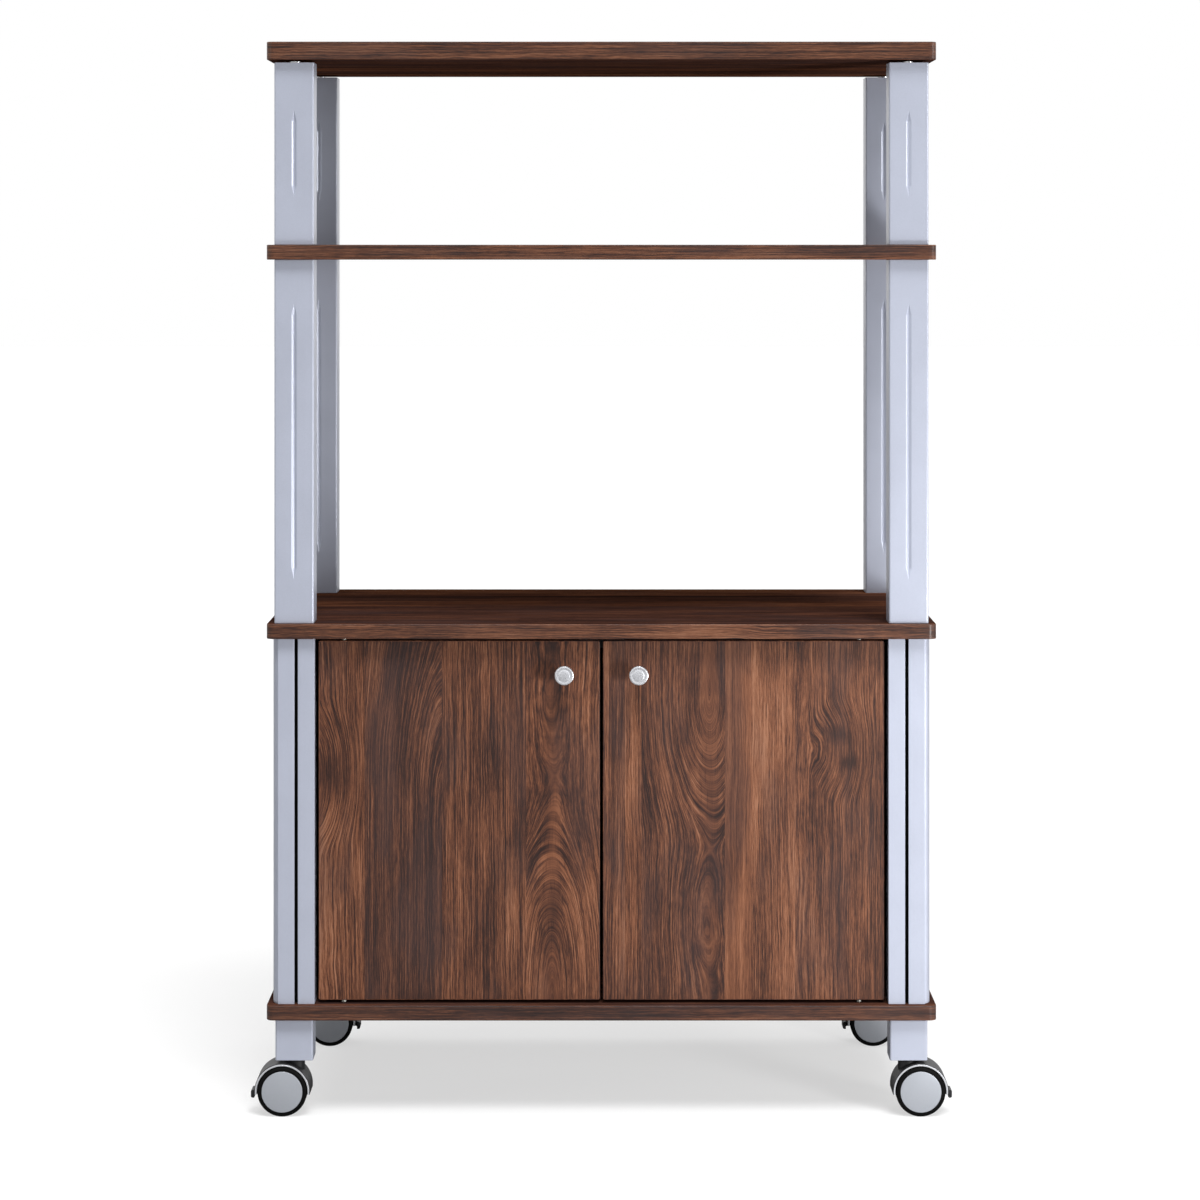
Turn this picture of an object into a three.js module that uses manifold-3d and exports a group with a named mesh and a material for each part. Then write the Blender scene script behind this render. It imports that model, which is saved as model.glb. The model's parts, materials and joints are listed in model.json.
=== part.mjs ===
// Microwave cart: four boards held apart by silver posts, an open shelf bay, an open microwave bay,
// a two-door cabinet, and four twin-wheel casters with foot brakes.
// Millimetres, +Z up. The front faces -Y. The origin is on the floor, under the middle of the cart.

import * as THREE from 'three';
import { mergeVertices } from 'three/addons/utils/BufferGeometryUtils.js';
import Module from 'manifold-3d';

const wasm = await Module();
wasm.setup();

// ---- Sizes: boards and bays ----------------------------------------------------------------

const boardWidth = 675;
const boardDepth = 400;
const boardThickness = 15;
const topBoardThickness = 18;
const boardCornerRadius = 8;
const boardArris = 0.8; // small bevel along every board and door edge

const upperPostHeight = 184;
const middlePostHeight = 367;
const cabinetHeight = 369;
const legHeight = 42;

// ---- Sizes: posts and legs -----------------------------------------------------------------

const postWidth = 40;
const postCornerRadius = 2;
const postWall = 1.5;
const postEndSetback = 7.5; // from the board's end to the post's outer face
const postFaceSetback = 8; // from the board's front or back edge to the post's face
const plugThickness = 8; // plastic plug in each end of a post
const legWidth = 38;

const grooveWidth = 6; // pressed groove down the post's face
const grooveDepth = 2;
const grooveTaper = 12; // length over which the groove runs out to a point
const upperGrooveMargin = 48; // from the post's end to the groove's point
const middleGrooveMargin = 44;

const studRadius = 4; // threaded stud that clamps two posts on a board
const studReach = 14; // how far a stud enters the post below
const studChamfer = 0.8;
const fitClearance = 0.3; // between a shaft or panel and the hole or slot it sits in
const runningClearance = 0.4; // the same, where the shaft turns in its bore

const flangeRadius = 5.5; // chrome flange between the upper post and the top board
const flangeHeight = 2.5;
const topStudReach = 10; // how far the flanged stud enters the top board

// ---- Sizes: slotted cabinet post -----------------------------------------------------------

const profileWall = 1.8;
const profileInnerOverhang = 0.5; // beyond the plain post above, on the door's side
const profileOuterOverhang = 2.3; // beyond the plain post above, on the outer side
const lobeReach = 5.8; // rounded lobe on the outer side
const lobeStep = 4; // the lobe starts this far behind the flat face
const slotWidth = 3.4;
const slotDepth = 10; // slots in the front and back faces
const panelSlotDepth = 8; // slot in the inner face
const panelEndGap = 0.5; // between a panel's edge and the bottom of its slot
const panelTopGap = 1;

// ---- Sizes: doors --------------------------------------------------------------------------

const doorThickness = 15;
const doorCornerRadius = 2;
const doorSetback = 15; // from the board's front edge to the door's face
const doorSideGap = 3.8;
const doorMeetingGap = 3;
const doorEndGap = 3; // above and below the door
const pivotInset = 25; // from the door's outer edge to its pivot pins
const pivotRadius = 2;
const pivotCollarRadius = 2.8;
const pivotReach = 11; // how far a pin enters the door
const pivotSeat = 8; // how far a pin enters its board

const knobInset = 36; // from the door's meeting edge
const knobDrop = 33; // from the door's top edge
const knobRadius = 9.7;
const knobProjection = 24;
const knobHeadLength = 8;
const knobRim = 1.8; // rounded rim of the knob's face
const knobDish = 0.5;
const knobNeckRadius = 4.5;
const knobFootRadius = 7;
const knobFootHeight = 1.5;
const knobFlare = 3; // height over which the foot runs into the neck
const screwRadius = 2;
const screwHeadRadius = 4;
const screwHeadHeight = 2.2;

const catchWidth = 50;
const catchDepth = 16;
const catchHeight = 12;
const catchCornerRadius = 4;
const magnetWidth = 16;
const magnetHeight = 7;
const magnetReach = 2; // how far a magnet stands out of the catch
const magnetSpacing = 26;

// ---- Sizes: casters ------------------------------------------------------------------------

const wheelRadius = 25;
const wheelWidth = 17.5;
const wheelGap = 1; // between a wheel and the housing's web
const wheelCapRadius = 20.6;
const wheelCapDome = 1.4;
const wheelCapGroove = 0.9;
const treadRound = 3;
const trail = 12; // from the stem to the axle

const webThickness = 10;
const hubRadius = 8;
const axleRadius = 3;
const axleEndCover = 2; // thickness of the wheel's outer wall over the axle's end
const treadClearance = 1; // between the tyre and the hood
const hoodWall = 2;
const hoodSetback = 1.5; // from the wheel's outer face to the hood's edge
const hoodOverlap = THREE.MathUtils.degToRad(6); // the hood ends this far below the axle
const webFlank = THREE.MathUtils.degToRad(36); // where the web meets its hub, below the axle

const bossRadius = 9.5;
const bossRise = 0.7; // above the top of the hood
const swivelGap = 0.3;
const swivelRadius = 3;
const swivelDepth = 25; // how far the stem enters the housing
const collarRadius = 6.5;
const collarHeight = 2;
const shankRadius = 5.5;
const shankLength = 22; // stem inside the leg
const gripRingLength = 2.4;
const gripRingDepth = 0.7;
const socketLength = 20; // plastic socket in the leg's foot

const leverThickness = 5.4;
const leverEyeRadius = 4.5;
const leverPivotRise = 2; // lever pivot above the axle
const leverArmHeight = 6;
const leverHubGap = 1.5;
const leverArmDrop = 6.5; // how far the arm slopes down from the pivot to the tab
const trunnionRadius = 2;
const tabWidth = 20;
const tabHeight = 8;
const tabThickness = 3.5;
const tabHoodGap = 1;

const meetingFaceGap = 0.3; // between a catch's magnet and the closed door
const joinOverlap = 1; // how far one form runs into another that it is joined to
const throughMargin = 1; // how far a cutting form runs past the face it cuts

// ---- Sizes that follow ---------------------------------------------------------------------

const hoodInnerRadius = wheelRadius + treadClearance;
const hoodOuterRadius = hoodInnerRadius + hoodWall;
const bossTop = wheelRadius + hoodOuterRadius + bossRise;
const wheelInnerFace = webThickness / 2 + wheelGap;
const wheelOuterFace = wheelInnerFace + wheelWidth;
const leverPivotX = trail + hubRadius + leverHubGap + leverEyeRadius;
const leverPivotZ = wheelRadius + leverPivotRise;

const legBottom = bossTop + swivelGap + collarHeight;
const bottomBoardBase = legBottom + legHeight;
const cabinetFloor = bottomBoardBase + boardThickness;
const cabinetTopBase = cabinetFloor + cabinetHeight;
const middleBayFloor = cabinetTopBase + boardThickness;
const upperShelfBase = middleBayFloor + middlePostHeight;
const upperBayFloor = upperShelfBase + boardThickness;
const upperPostTop = upperBayFloor + upperPostHeight;
const topBoardBase = upperPostTop + flangeHeight;

const postX = boardWidth / 2 - postEndSetback - postWidth / 2;
const postY = boardDepth / 2 - postFaceSetback - postWidth / 2;

const profileInnerFace = postWidth / 2 + profileInnerOverhang;
const profileCoreEdge = postWidth / 2 + profileOuterOverhang - lobeReach;
const slotCentre = (profileCoreEdge - profileInnerFace) / 2;
const panelThickness = slotWidth - 2 * fitClearance;

const doorOuterEdge = postX - profileInnerFace - doorSideGap;
const doorWidth = doorOuterEdge - doorMeetingGap / 2;
const doorHeight = cabinetHeight - 2 * doorEndGap;
const doorCentreY = -boardDepth / 2 + doorSetback + doorThickness / 2;
const pivotX = doorOuterEdge - pivotInset;
const knobOverhang = Math.max(0, knobProjection - doorSetback);

// ---- Solids --------------------------------------------------------------------------------

const cornerSteps = 2; // steps in a small quarter round
const boardCornerSteps = 3;
const lobeSteps = 6;
const rodSides = 10;
const bossSides = 20;
const knobSides = 18;
const wheelSides = 26;
const hoodSteps = 16;
const webSteps = 8;
const grooveSides = 8;
const weldDistance = 1e-5;

// Turns a closed three.js geometry into a solid that can be joined and cut.
function toSolid(geometry) {
  const bare = geometry.clone();
  bare.deleteAttribute('normal');
  bare.deleteAttribute('uv');
  const welded = mergeVertices(bare, weldDistance);
  const corners = welded.index.array;
  const triangles = [];
  for (let first = 0; first < corners.length; first += 3) {
    const [a, b, c] = corners.slice(first, first + 3);
    if (a !== b && b !== c && c !== a) {
      triangles.push(a, b, c);
    }
  }
  return new wasm.Manifold(new wasm.Mesh({
    numProp: 3,
    vertProperties: welded.attributes.position.array,
    triVerts: new Uint32Array(triangles),
  }));
}

function toGeometry(solid) {
  const mesh = solid.getMesh();
  const indexed = new THREE.BufferGeometry();
  indexed.setAttribute('position', new THREE.BufferAttribute(mesh.vertProperties, 3));
  indexed.setIndex(new THREE.BufferAttribute(mesh.triVerts, 1));
  const geometry = indexed.toNonIndexed();
  geometry.computeVertexNormals();
  return geometry;
}

function cut(body, tools) {
  return tools.reduce((rest, tool) => rest.subtract(tool), body);
}

function join(body, pieces) {
  return pieces.reduce((whole, piece) => whole.add(piece), body);
}

// A box centred on x and y, standing on z.
function block(width, depth, height, x = 0, y = 0, z = 0) {
  const geometry = new THREE.BoxGeometry(width, depth, height);
  geometry.translate(x, y, z + height / 2);
  return toSolid(geometry);
}

// An upright rod or hole, standing on z.
function rod(radius, height, x = 0, y = 0, z = 0, sides = rodSides) {
  const geometry = new THREE.CylinderGeometry(radius, radius, height, sides);
  geometry.rotateX(Math.PI / 2);
  geometry.translate(x, y, z + height / 2);
  return toSolid(geometry);
}

// A rod or hole along Y, centred on the plane y = 0.
function crossRod(radius, length, x, z, sides = rodSides) {
  const geometry = new THREE.CylinderGeometry(radius, radius, length, sides);
  geometry.translate(x, 0, z);
  return toSolid(geometry);
}

// A body turned about Z from points [radius, height], listed from bottom to top.
function turned(points, sides = rodSides) {
  const profile = points.map(([radius, height]) => new THREE.Vector2(radius, height));
  const geometry = new THREE.LatheGeometry(profile, sides);
  geometry.rotateX(Math.PI / 2);
  return toSolid(geometry);
}

// A flat outline given height upwards from z.
function prism(shape, height, z = 0, steps = cornerSteps) {
  const geometry = new THREE.ExtrudeGeometry(shape, {
    depth: height,
    bevelEnabled: false,
    curveSegments: steps,
  });
  geometry.translate(0, 0, z);
  return toSolid(geometry);
}

// A flat outline drawn in X and Z, given thickness along Y about the plane y = 0.
function plate(shape, thickness, steps = cornerSteps) {
  const geometry = new THREE.ExtrudeGeometry(shape, {
    depth: thickness,
    bevelEnabled: false,
    curveSegments: steps,
  });
  geometry.translate(0, 0, -thickness / 2);
  geometry.rotateX(Math.PI / 2);
  return toSolid(geometry);
}

// A flat outline given thickness upwards from z = 0, with a bevel along both faces.
function slab(shape, thickness, arris, steps = cornerSteps) {
  const geometry = new THREE.ExtrudeGeometry(shape, {
    depth: thickness - 2 * arris,
    bevelThickness: arris,
    bevelSize: arris,
    bevelOffset: -arris,
    bevelSegments: 1,
    curveSegments: steps,
  });
  geometry.translate(0, 0, arris);
  return geometry;
}

function roundedRectangle(width, depth, radius) {
  const x = width / 2;
  const y = depth / 2;
  const shape = new THREE.Shape();
  shape.absarc(x - radius, y - radius, radius, 0, Math.PI / 2);
  shape.absarc(radius - x, y - radius, radius, Math.PI / 2, Math.PI);
  shape.absarc(radius - x, radius - y, radius, Math.PI, 1.5 * Math.PI);
  shape.absarc(x - radius, radius - y, radius, 1.5 * Math.PI, 2 * Math.PI);
  return shape;
}

// ---- Boards --------------------------------------------------------------------------------

const corners = [
  { name: 'front_left', x: -1, y: -1 },
  { name: 'front_right', x: 1, y: -1 },
  { name: 'back_left', x: -1, y: 1 },
  { name: 'back_right', x: 1, y: 1 },
];

function boardSolid(thickness) {
  const outline = roundedRectangle(boardWidth, boardDepth, boardCornerRadius);
  return toSolid(slab(outline, thickness, boardArris, boardCornerSteps));
}

// Holes at the four posts, from depth z over a height.
function studHoles(z, height) {
  return corners.map(({ x, y }) => rod(studRadius + fitClearance, height, x * postX, y * postY, z));
}

// Blind holes that seat the door pins, from depth z over a height.
function pivotHoles(z, height) {
  return [-1, 1].map((side) => rod(pivotRadius + fitClearance, height, side * pivotX, doorCentreY, z));
}

function topBoard() {
  const holes = studHoles(-throughMargin, topStudReach + fitClearance + throughMargin);
  return cut(boardSolid(topBoardThickness), holes);
}

function shelfBoard() {
  return cut(boardSolid(boardThickness), studHoles(-throughMargin, boardThickness + 2 * throughMargin));
}

function cabinetTopBoard() {
  return cut(shelfBoard(), pivotHoles(-throughMargin, pivotSeat + fitClearance + throughMargin));
}

function bottomBoard() {
  const holeDepth = pivotSeat + fitClearance;
  return cut(shelfBoard(), pivotHoles(boardThickness - holeDepth, holeDepth + throughMargin));
}

// ---- Posts ---------------------------------------------------------------------------------

// A stud that hangs below z = 0 and is joined to the body above it.
function hangingStud(length) {
  return turned([
    [0, -length],
    [studRadius - studChamfer, -length],
    [studRadius, studChamfer - length],
    [studRadius, joinOverlap],
    [0, joinOverlap],
  ]);
}

// A long pointed form lying on a post's front or back face, which presses the groove in.
function grooveForm(halfWidth, depth, length, height, face) {
  const half = length / 2;
  const profile = [
    new THREE.Vector2(0, -half),
    new THREE.Vector2(1, grooveTaper - half),
    new THREE.Vector2(1, half - grooveTaper),
    new THREE.Vector2(0, half),
  ];
  const geometry = new THREE.LatheGeometry(profile, grooveSides);
  geometry.rotateX(Math.PI / 2);
  geometry.scale(halfWidth, depth, 1);
  geometry.translate(0, face * postWidth / 2, height / 2);
  return toSolid(geometry);
}

// A square tube with end plugs, a stud below and a hole for the stud above.
// The pressed groove bulges inside the tube by as much as it sinks outside.
function postSolid(height, grooveMargin) {
  const length = height - 2 * grooveMargin;
  const halfWidth = grooveWidth / 2;
  const faces = [-1, 1];
  const bulges = faces.map((face) => (
    grooveForm(halfWidth + postWall, grooveDepth + postWall, length + 2 * postWall, height, face)));
  const grooves = faces.map((face) => grooveForm(halfWidth, grooveDepth, length, height, face));
  const inside = postWidth - 2 * postWall;
  const hollow = cut(block(inside, inside, height - 2 * plugThickness, 0, 0, plugThickness), bulges);
  const stock = prism(roundedRectangle(postWidth, postWidth, postCornerRadius), height);
  const tube = cut(stock, [hollow, ...grooves, topHole(height)]);
  return join(tube, [hangingStud(boardThickness + studReach)]);
}

function topHole(height) {
  return rod(studRadius + fitClearance, plugThickness + 2 * throughMargin, 0, 0,
    height - plugThickness - throughMargin);
}

// The flanged stud that carries the top board: its flange stands on the upper post.
function topStudSolid() {
  return turned([
    [0, -studReach],
    [studRadius - studChamfer, -studReach],
    [studRadius, studChamfer - studReach],
    [studRadius, 0],
    [flangeRadius, 0],
    [flangeRadius, flangeHeight],
    [studRadius, flangeHeight],
    [studRadius, flangeHeight + topStudReach],
    [0, flangeHeight + topStudReach],
  ]);
}

// ---- Slotted cabinet posts -----------------------------------------------------------------

// The profile's outline, with its outer side towards +X. The inset leaves the wall's thickness.
// Slots in the front and back faces take the side panels, and the inner one takes the back panel.
function profileOutline(inset) {
  const inner = inset - profileInnerFace;
  const core = profileCoreEdge - inset;
  const face = postWidth / 2 - inset;
  const lobe = postWidth / 2 - lobeStep - inset;
  const slotHalf = slotWidth / 2 + inset;
  const slotEnd = postWidth / 2 - slotDepth - inset;
  const panelSlotEnd = panelSlotDepth - profileInnerFace + inset;
  const shape = new THREE.Shape();
  shape.moveTo(inner, -face);
  shape.lineTo(slotCentre - slotHalf, -face);
  shape.lineTo(slotCentre - slotHalf, -slotEnd);
  shape.lineTo(slotCentre + slotHalf, -slotEnd);
  shape.lineTo(slotCentre + slotHalf, -face);
  shape.lineTo(core, -face);
  shape.lineTo(core, -lobe);
  shape.absellipse(profileCoreEdge, 0, lobeReach - inset, lobe, -Math.PI / 2, Math.PI / 2);
  shape.lineTo(core, lobe);
  shape.lineTo(core, face);
  shape.lineTo(slotCentre + slotHalf, face);
  shape.lineTo(slotCentre + slotHalf, slotEnd);
  shape.lineTo(slotCentre - slotHalf, slotEnd);
  shape.lineTo(slotCentre - slotHalf, face);
  shape.lineTo(inner, face);
  shape.lineTo(inner, slotHalf);
  shape.lineTo(panelSlotEnd, slotHalf);
  shape.lineTo(panelSlotEnd, -slotHalf);
  shape.lineTo(inner, -slotHalf);
  return shape;
}

function cabinetPostSolid() {
  const stock = prism(profileOutline(0), cabinetHeight, 0, lobeSteps);
  const hollowHeight = cabinetHeight - 2 * plugThickness;
  const hollow = prism(profileOutline(profileWall), hollowHeight, plugThickness, lobeSteps);
  const tube = cut(stock, [hollow, topHole(cabinetHeight)]);
  return join(tube, [hangingStud(boardThickness + studReach)]);
}

// ---- Legs ----------------------------------------------------------------------------------

// A short square tube: a plug takes the cabinet post's stud, and a socket takes the caster's stem.
function legSolid() {
  const inside = legWidth - 2 * postWall;
  const stock = prism(roundedRectangle(legWidth, legWidth, postCornerRadius), legHeight);
  const hollow = block(inside, inside, legHeight - socketLength - plugThickness, 0, 0, socketLength);
  const socket = rod(shankRadius + fitClearance, socketLength + 2 * throughMargin, 0, 0, -throughMargin);
  return cut(stock, [hollow, socket, topHole(legHeight)]);
}

// ---- Cabinet panels and doors --------------------------------------------------------------

function sidePanelSolid() {
  const depth = 2 * (postY - postWidth / 2 + slotDepth - panelEndGap);
  return block(panelThickness, depth, cabinetHeight - panelTopGap);
}

function backPanelSolid() {
  const width = 2 * (postX - profileInnerFace + panelSlotDepth - panelEndGap);
  return block(width, panelThickness, cabinetHeight - panelTopGap);
}

// A door about its pivot axis. Side is -1 for the left door and 1 for the right one.
function doorSolid(side) {
  const outline = roundedRectangle(doorWidth, doorHeight, doorCornerRadius);
  const leaf = slab(outline, doorThickness, boardArris);
  leaf.rotateX(Math.PI / 2);
  leaf.translate(side * (pivotInset - doorWidth / 2), doorThickness / 2, doorHeight / 2);
  const boreRadius = pivotRadius + runningClearance;
  const boreDepth = pivotReach + runningClearance;
  const screwHole = crossRod(screwRadius + fitClearance, doorThickness + 2 * throughMargin,
    knobX(side), doorHeight - knobDrop);
  return cut(toSolid(leaf), [
    rod(boreRadius, boreDepth + throughMargin, 0, 0, -throughMargin),
    rod(boreRadius, boreDepth + throughMargin, 0, 0, doorHeight - boreDepth),
    screwHole,
  ]);
}

// The knob's place across the door, from the pivot axis.
function knobX(side) {
  return side * (pivotInset - doorWidth + knobInset);
}

// A turned knob with its screw through the door. Z is the knob's axis, and z = 0 the door's face.
function knobSolid() {
  const head = knobProjection - knobHeadLength;
  return turned([
    [0, -doorThickness - screwHeadHeight],
    [screwHeadRadius, -doorThickness - screwHeadHeight],
    [screwHeadRadius, -doorThickness],
    [screwRadius, -doorThickness],
    [screwRadius, 0],
    [knobFootRadius, 0],
    [knobFootRadius, knobFootHeight],
    [knobNeckRadius, knobFlare],
    [knobNeckRadius, head],
    [knobRadius - knobRim, head + knobRim],
    [knobRadius, head + 2 * knobRim],
    [knobRadius, knobProjection - knobRim],
    [knobRadius - knobRim, knobProjection],
    [knobRadius - 2 * knobRim, knobProjection - knobDish],
    [0, knobProjection],
  ], knobSides);
}

// A door pin standing on its board: the collar fills the gap under the door.
function pivotPinSolid() {
  const collarTop = doorEndGap - fitClearance;
  const tip = doorEndGap + pivotReach;
  return turned([
    [0, -pivotSeat],
    [pivotRadius, -pivotSeat],
    [pivotRadius, 0],
    [pivotCollarRadius, 0],
    [pivotCollarRadius, collarTop],
    [pivotRadius, collarTop],
    [pivotRadius, tip - studChamfer],
    [pivotRadius - studChamfer, tip],
    [0, tip],
  ]);
}

// A double magnetic catch hanging under the cabinet top, with one magnet for each door.
function catchSolid() {
  const outline = roundedRectangle(catchWidth, catchDepth, catchCornerRadius);
  const body = toSolid(slab(outline, catchHeight, boardArris));
  const magnets = [-1, 1].map((side) => (
    block(magnetWidth, magnetReach + joinOverlap, magnetHeight, side * magnetSpacing / 2,
      -(catchDepth + magnetReach - joinOverlap) / 2, (catchHeight - magnetHeight) / 2)));
  return join(body, magnets);
}

// ---- Casters -------------------------------------------------------------------------------
// Each caster is drawn about its stem, on the floor, trailing towards +X.

// The band over both wheels, between two radii, given width along Y.
function hoodBand(innerRadius, outerRadius, width) {
  const shape = new THREE.Shape();
  shape.absarc(trail, wheelRadius, outerRadius, -hoodOverlap, Math.PI + hoodOverlap);
  shape.absarc(trail, wheelRadius, innerRadius, Math.PI + hoodOverlap, -hoodOverlap, true);
  return plate(shape, width, hoodSteps);
}

// The web between the wheels: it fills the hood and rounds off under the axle.
function webPlate() {
  const shape = new THREE.Shape();
  shape.absarc(trail, wheelRadius, hoodInnerRadius + joinOverlap, -hoodOverlap, Math.PI + hoodOverlap);
  shape.absarc(trail, wheelRadius, hubRadius, Math.PI + webFlank, 2 * Math.PI - webFlank);
  return plate(shape, webThickness, webSteps);
}

// The pocket that splits the web into two cheeks and notches the hood, for the brake lever.
function leverPocket() {
  const start = leverPivotX - leverEyeRadius - 2 * fitClearance;
  const end = trail + hoodOuterRadius + throughMargin;
  const top = leverPivotZ + leverEyeRadius + 2 * fitClearance;
  return block(end - start, leverThickness + 2 * fitClearance, top, (start + end) / 2, 0, 0);
}

function housingSolid() {
  const hoodWidth = 2 * (wheelOuterFace - hoodSetback);
  const wellRadius = hoodInnerRadius + hoodWall / 2;
  const wheelWell = crossRod(wellRadius, 2 * hoodWidth, trail, wheelRadius, bossSides);
  const boss = cut(rod(bossRadius, bossTop - wheelRadius, 0, 0, wheelRadius, bossSides), [wheelWell]);
  const body = join(hoodBand(hoodInnerRadius, hoodOuterRadius, hoodWidth), [boss, webPlate()]);
  const swivelBore = rod(swivelRadius + runningClearance, swivelDepth + throughMargin, 0, 0,
    bossTop - swivelDepth);
  return cut(body, [
    swivelBore,
    crossRod(axleRadius + fitClearance, 2 * webThickness, trail, wheelRadius),
    leverPocket(),
    crossRod(trunnionRadius + fitClearance, 2 * webThickness, leverPivotX, leverPivotZ),
  ]);
}

// The stem: a pin in the housing, a collar under the leg, and a grip shank in the leg's socket.
function stemSolid() {
  const ringTop = shankLength - gripRingLength;
  const foot = bossTop - swivelDepth + swivelGap - legBottom;
  return turned([
    [0, foot],
    [swivelRadius - gripRingDepth, foot],
    [swivelRadius, foot + gripRingDepth],
    [swivelRadius, -collarHeight],
    [collarRadius, -collarHeight],
    [collarRadius, 0],
    [shankRadius, 0],
    [shankRadius, ringTop - gripRingLength],
    [shankRadius - gripRingDepth, ringTop - gripRingLength],
    [shankRadius - gripRingDepth, ringTop],
    [shankRadius, ringTop],
    [shankRadius - 2 * gripRingDepth, shankLength],
    [0, shankLength],
  ]);
}

function axleSolid() {
  const reach = wheelOuterFace - axleEndCover - 2 * fitClearance;
  return crossRod(axleRadius, 2 * reach, 0, 0);
}

// A wheel about its own axle, with its outer face towards +Y: tyre, hub and cap in one.
// The flats of its rim stand on the floor, so its corners lie a little outside the wheel's radius.
function wheelSolid() {
  const inner = wheelInnerFace;
  const outer = wheelOuterFace;
  const flatsToCorners = 1 / Math.cos(Math.PI / wheelSides);
  const rim = wheelRadius * flatsToCorners;
  const boreRadius = axleRadius + runningClearance;
  const points = [
    [0, outer - axleEndCover],
    [boreRadius, outer - axleEndCover],
    [boreRadius, inner],
    [rim - treadRound, inner],
    [rim, inner + treadRound],
    [rim, outer - treadRound],
    [wheelCapRadius + wheelCapGroove, outer - wheelCapGroove],
    [wheelCapRadius, outer - wheelCapGroove],
    [wheelCapRadius - wheelCapDome, outer],
    [0, outer + wheelCapDome],
  ];
  const profile = points.map(([radius, y]) => new THREE.Vector2(radius, y));
  return toSolid(new THREE.LatheGeometry(profile, wheelSides, Math.PI / wheelSides));
}

// The brake lever about its pivot: an eye with trunnions, an arm that slopes down, and a tab
// outside the hood.
function leverSolid() {
  const tabInner = trail + hoodOuterRadius + tabHoodGap - leverPivotX;
  const tabTop = tabHeight / 2 - leverArmDrop;
  const tabBase = tabTop - tabHeight;
  const nose = tabThickness / 2;
  const tab = new THREE.Shape();
  tab.moveTo(tabInner, tabBase);
  tab.absarc(tabInner + nose, tabBase + nose, nose, -Math.PI / 2, 0);
  tab.absarc(tabInner + nose, tabTop - nose, nose, 0, Math.PI / 2);
  tab.lineTo(tabInner, tabTop);
  const arm = new THREE.Shape();
  arm.moveTo(0, -leverArmHeight / 2);
  arm.lineTo(tabInner + joinOverlap, -leverArmHeight / 2 - leverArmDrop);
  arm.lineTo(tabInner + joinOverlap, leverArmHeight / 2 - leverArmDrop);
  arm.lineTo(0, leverArmHeight / 2);
  return join(crossRod(leverEyeRadius, leverThickness, 0, 0), [
    crossRod(trunnionRadius, webThickness - 2 * fitClearance, 0, 0),
    plate(arm, leverThickness),
    plate(tab, tabWidth),
  ]);
}

// ---- Assembly ------------------------------------------------------------------------------

const finishes = {
  walnut: { color: 0x4b2f28, roughness: 0.55, metalness: 0 },
  silver: { color: 0xb4b9c8, roughness: 0.42, metalness: 0.6 },
  chrome: { color: 0xdfe2e8, roughness: 0.15, metalness: 1 },
  board: { color: 0x2c2a2b, roughness: 0.8, metalness: 0 },
  steel: { color: 0x9a9da2, roughness: 0.35, metalness: 0.9 },
  plastic: { color: 0x1c1d20, roughness: 0.45, metalness: 0 },
  nylon: { color: 0x2b2320, roughness: 0.5, metalness: 0 },
};

function piece(name, geometry, finish) {
  const mesh = new THREE.Mesh(geometry, new THREE.MeshStandardMaterial(finishes[finish]));
  mesh.name = name;
  return mesh;
}

function addAt(parent, object, x, y, z) {
  object.position.set(x, y, z);
  parent.add(object);
  return object;
}

function addBoards(cart) {
  addAt(cart, piece('top_board', toGeometry(topBoard()), 'walnut'), 0, 0, topBoardBase);
  addAt(cart, piece('upper_shelf', toGeometry(shelfBoard()), 'walnut'), 0, 0, upperShelfBase);
  addAt(cart, piece('cabinet_top', toGeometry(cabinetTopBoard()), 'walnut'), 0, 0, cabinetTopBase);
  addAt(cart, piece('bottom_board', toGeometry(bottomBoard()), 'walnut'), 0, 0, bottomBoardBase);
}

// One stack of leg, posts and stud at each corner. The slotted post is turned to face outwards.
function addPosts(cart) {
  const leg = toGeometry(legSolid());
  const cabinetPost = toGeometry(cabinetPostSolid());
  const middlePost = toGeometry(postSolid(middlePostHeight, middleGrooveMargin));
  const upperPost = toGeometry(postSolid(upperPostHeight, upperGrooveMargin));
  const topStud = toGeometry(topStudSolid());
  for (const { name, x, y } of corners) {
    const place = [x * postX, y * postY];
    addAt(cart, piece(`leg_${name}`, leg, 'silver'), ...place, legBottom);
    const slotted = piece(`cabinet_post_${name}`, cabinetPost, 'silver');
    slotted.rotation.z = x < 0 ? Math.PI : 0;
    addAt(cart, slotted, ...place, cabinetFloor);
    addAt(cart, piece(`middle_post_${name}`, middlePost, 'silver'), ...place, middleBayFloor);
    addAt(cart, piece(`upper_post_${name}`, upperPost, 'silver'), ...place, upperBayFloor);
    addAt(cart, piece(`top_stud_${name}`, topStud, 'chrome'), ...place, upperPostTop);
  }
}

function addPanels(cart) {
  const sidePanel = toGeometry(sidePanelSolid());
  const panelX = postX + slotCentre;
  addAt(cart, piece('left_side_panel', sidePanel, 'board'), -panelX, 0, cabinetFloor);
  addAt(cart, piece('right_side_panel', sidePanel, 'board'), panelX, 0, cabinetFloor);
  addAt(cart, piece('back_panel', toGeometry(backPanelSolid()), 'board'), 0, postY, cabinetFloor);
}

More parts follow.
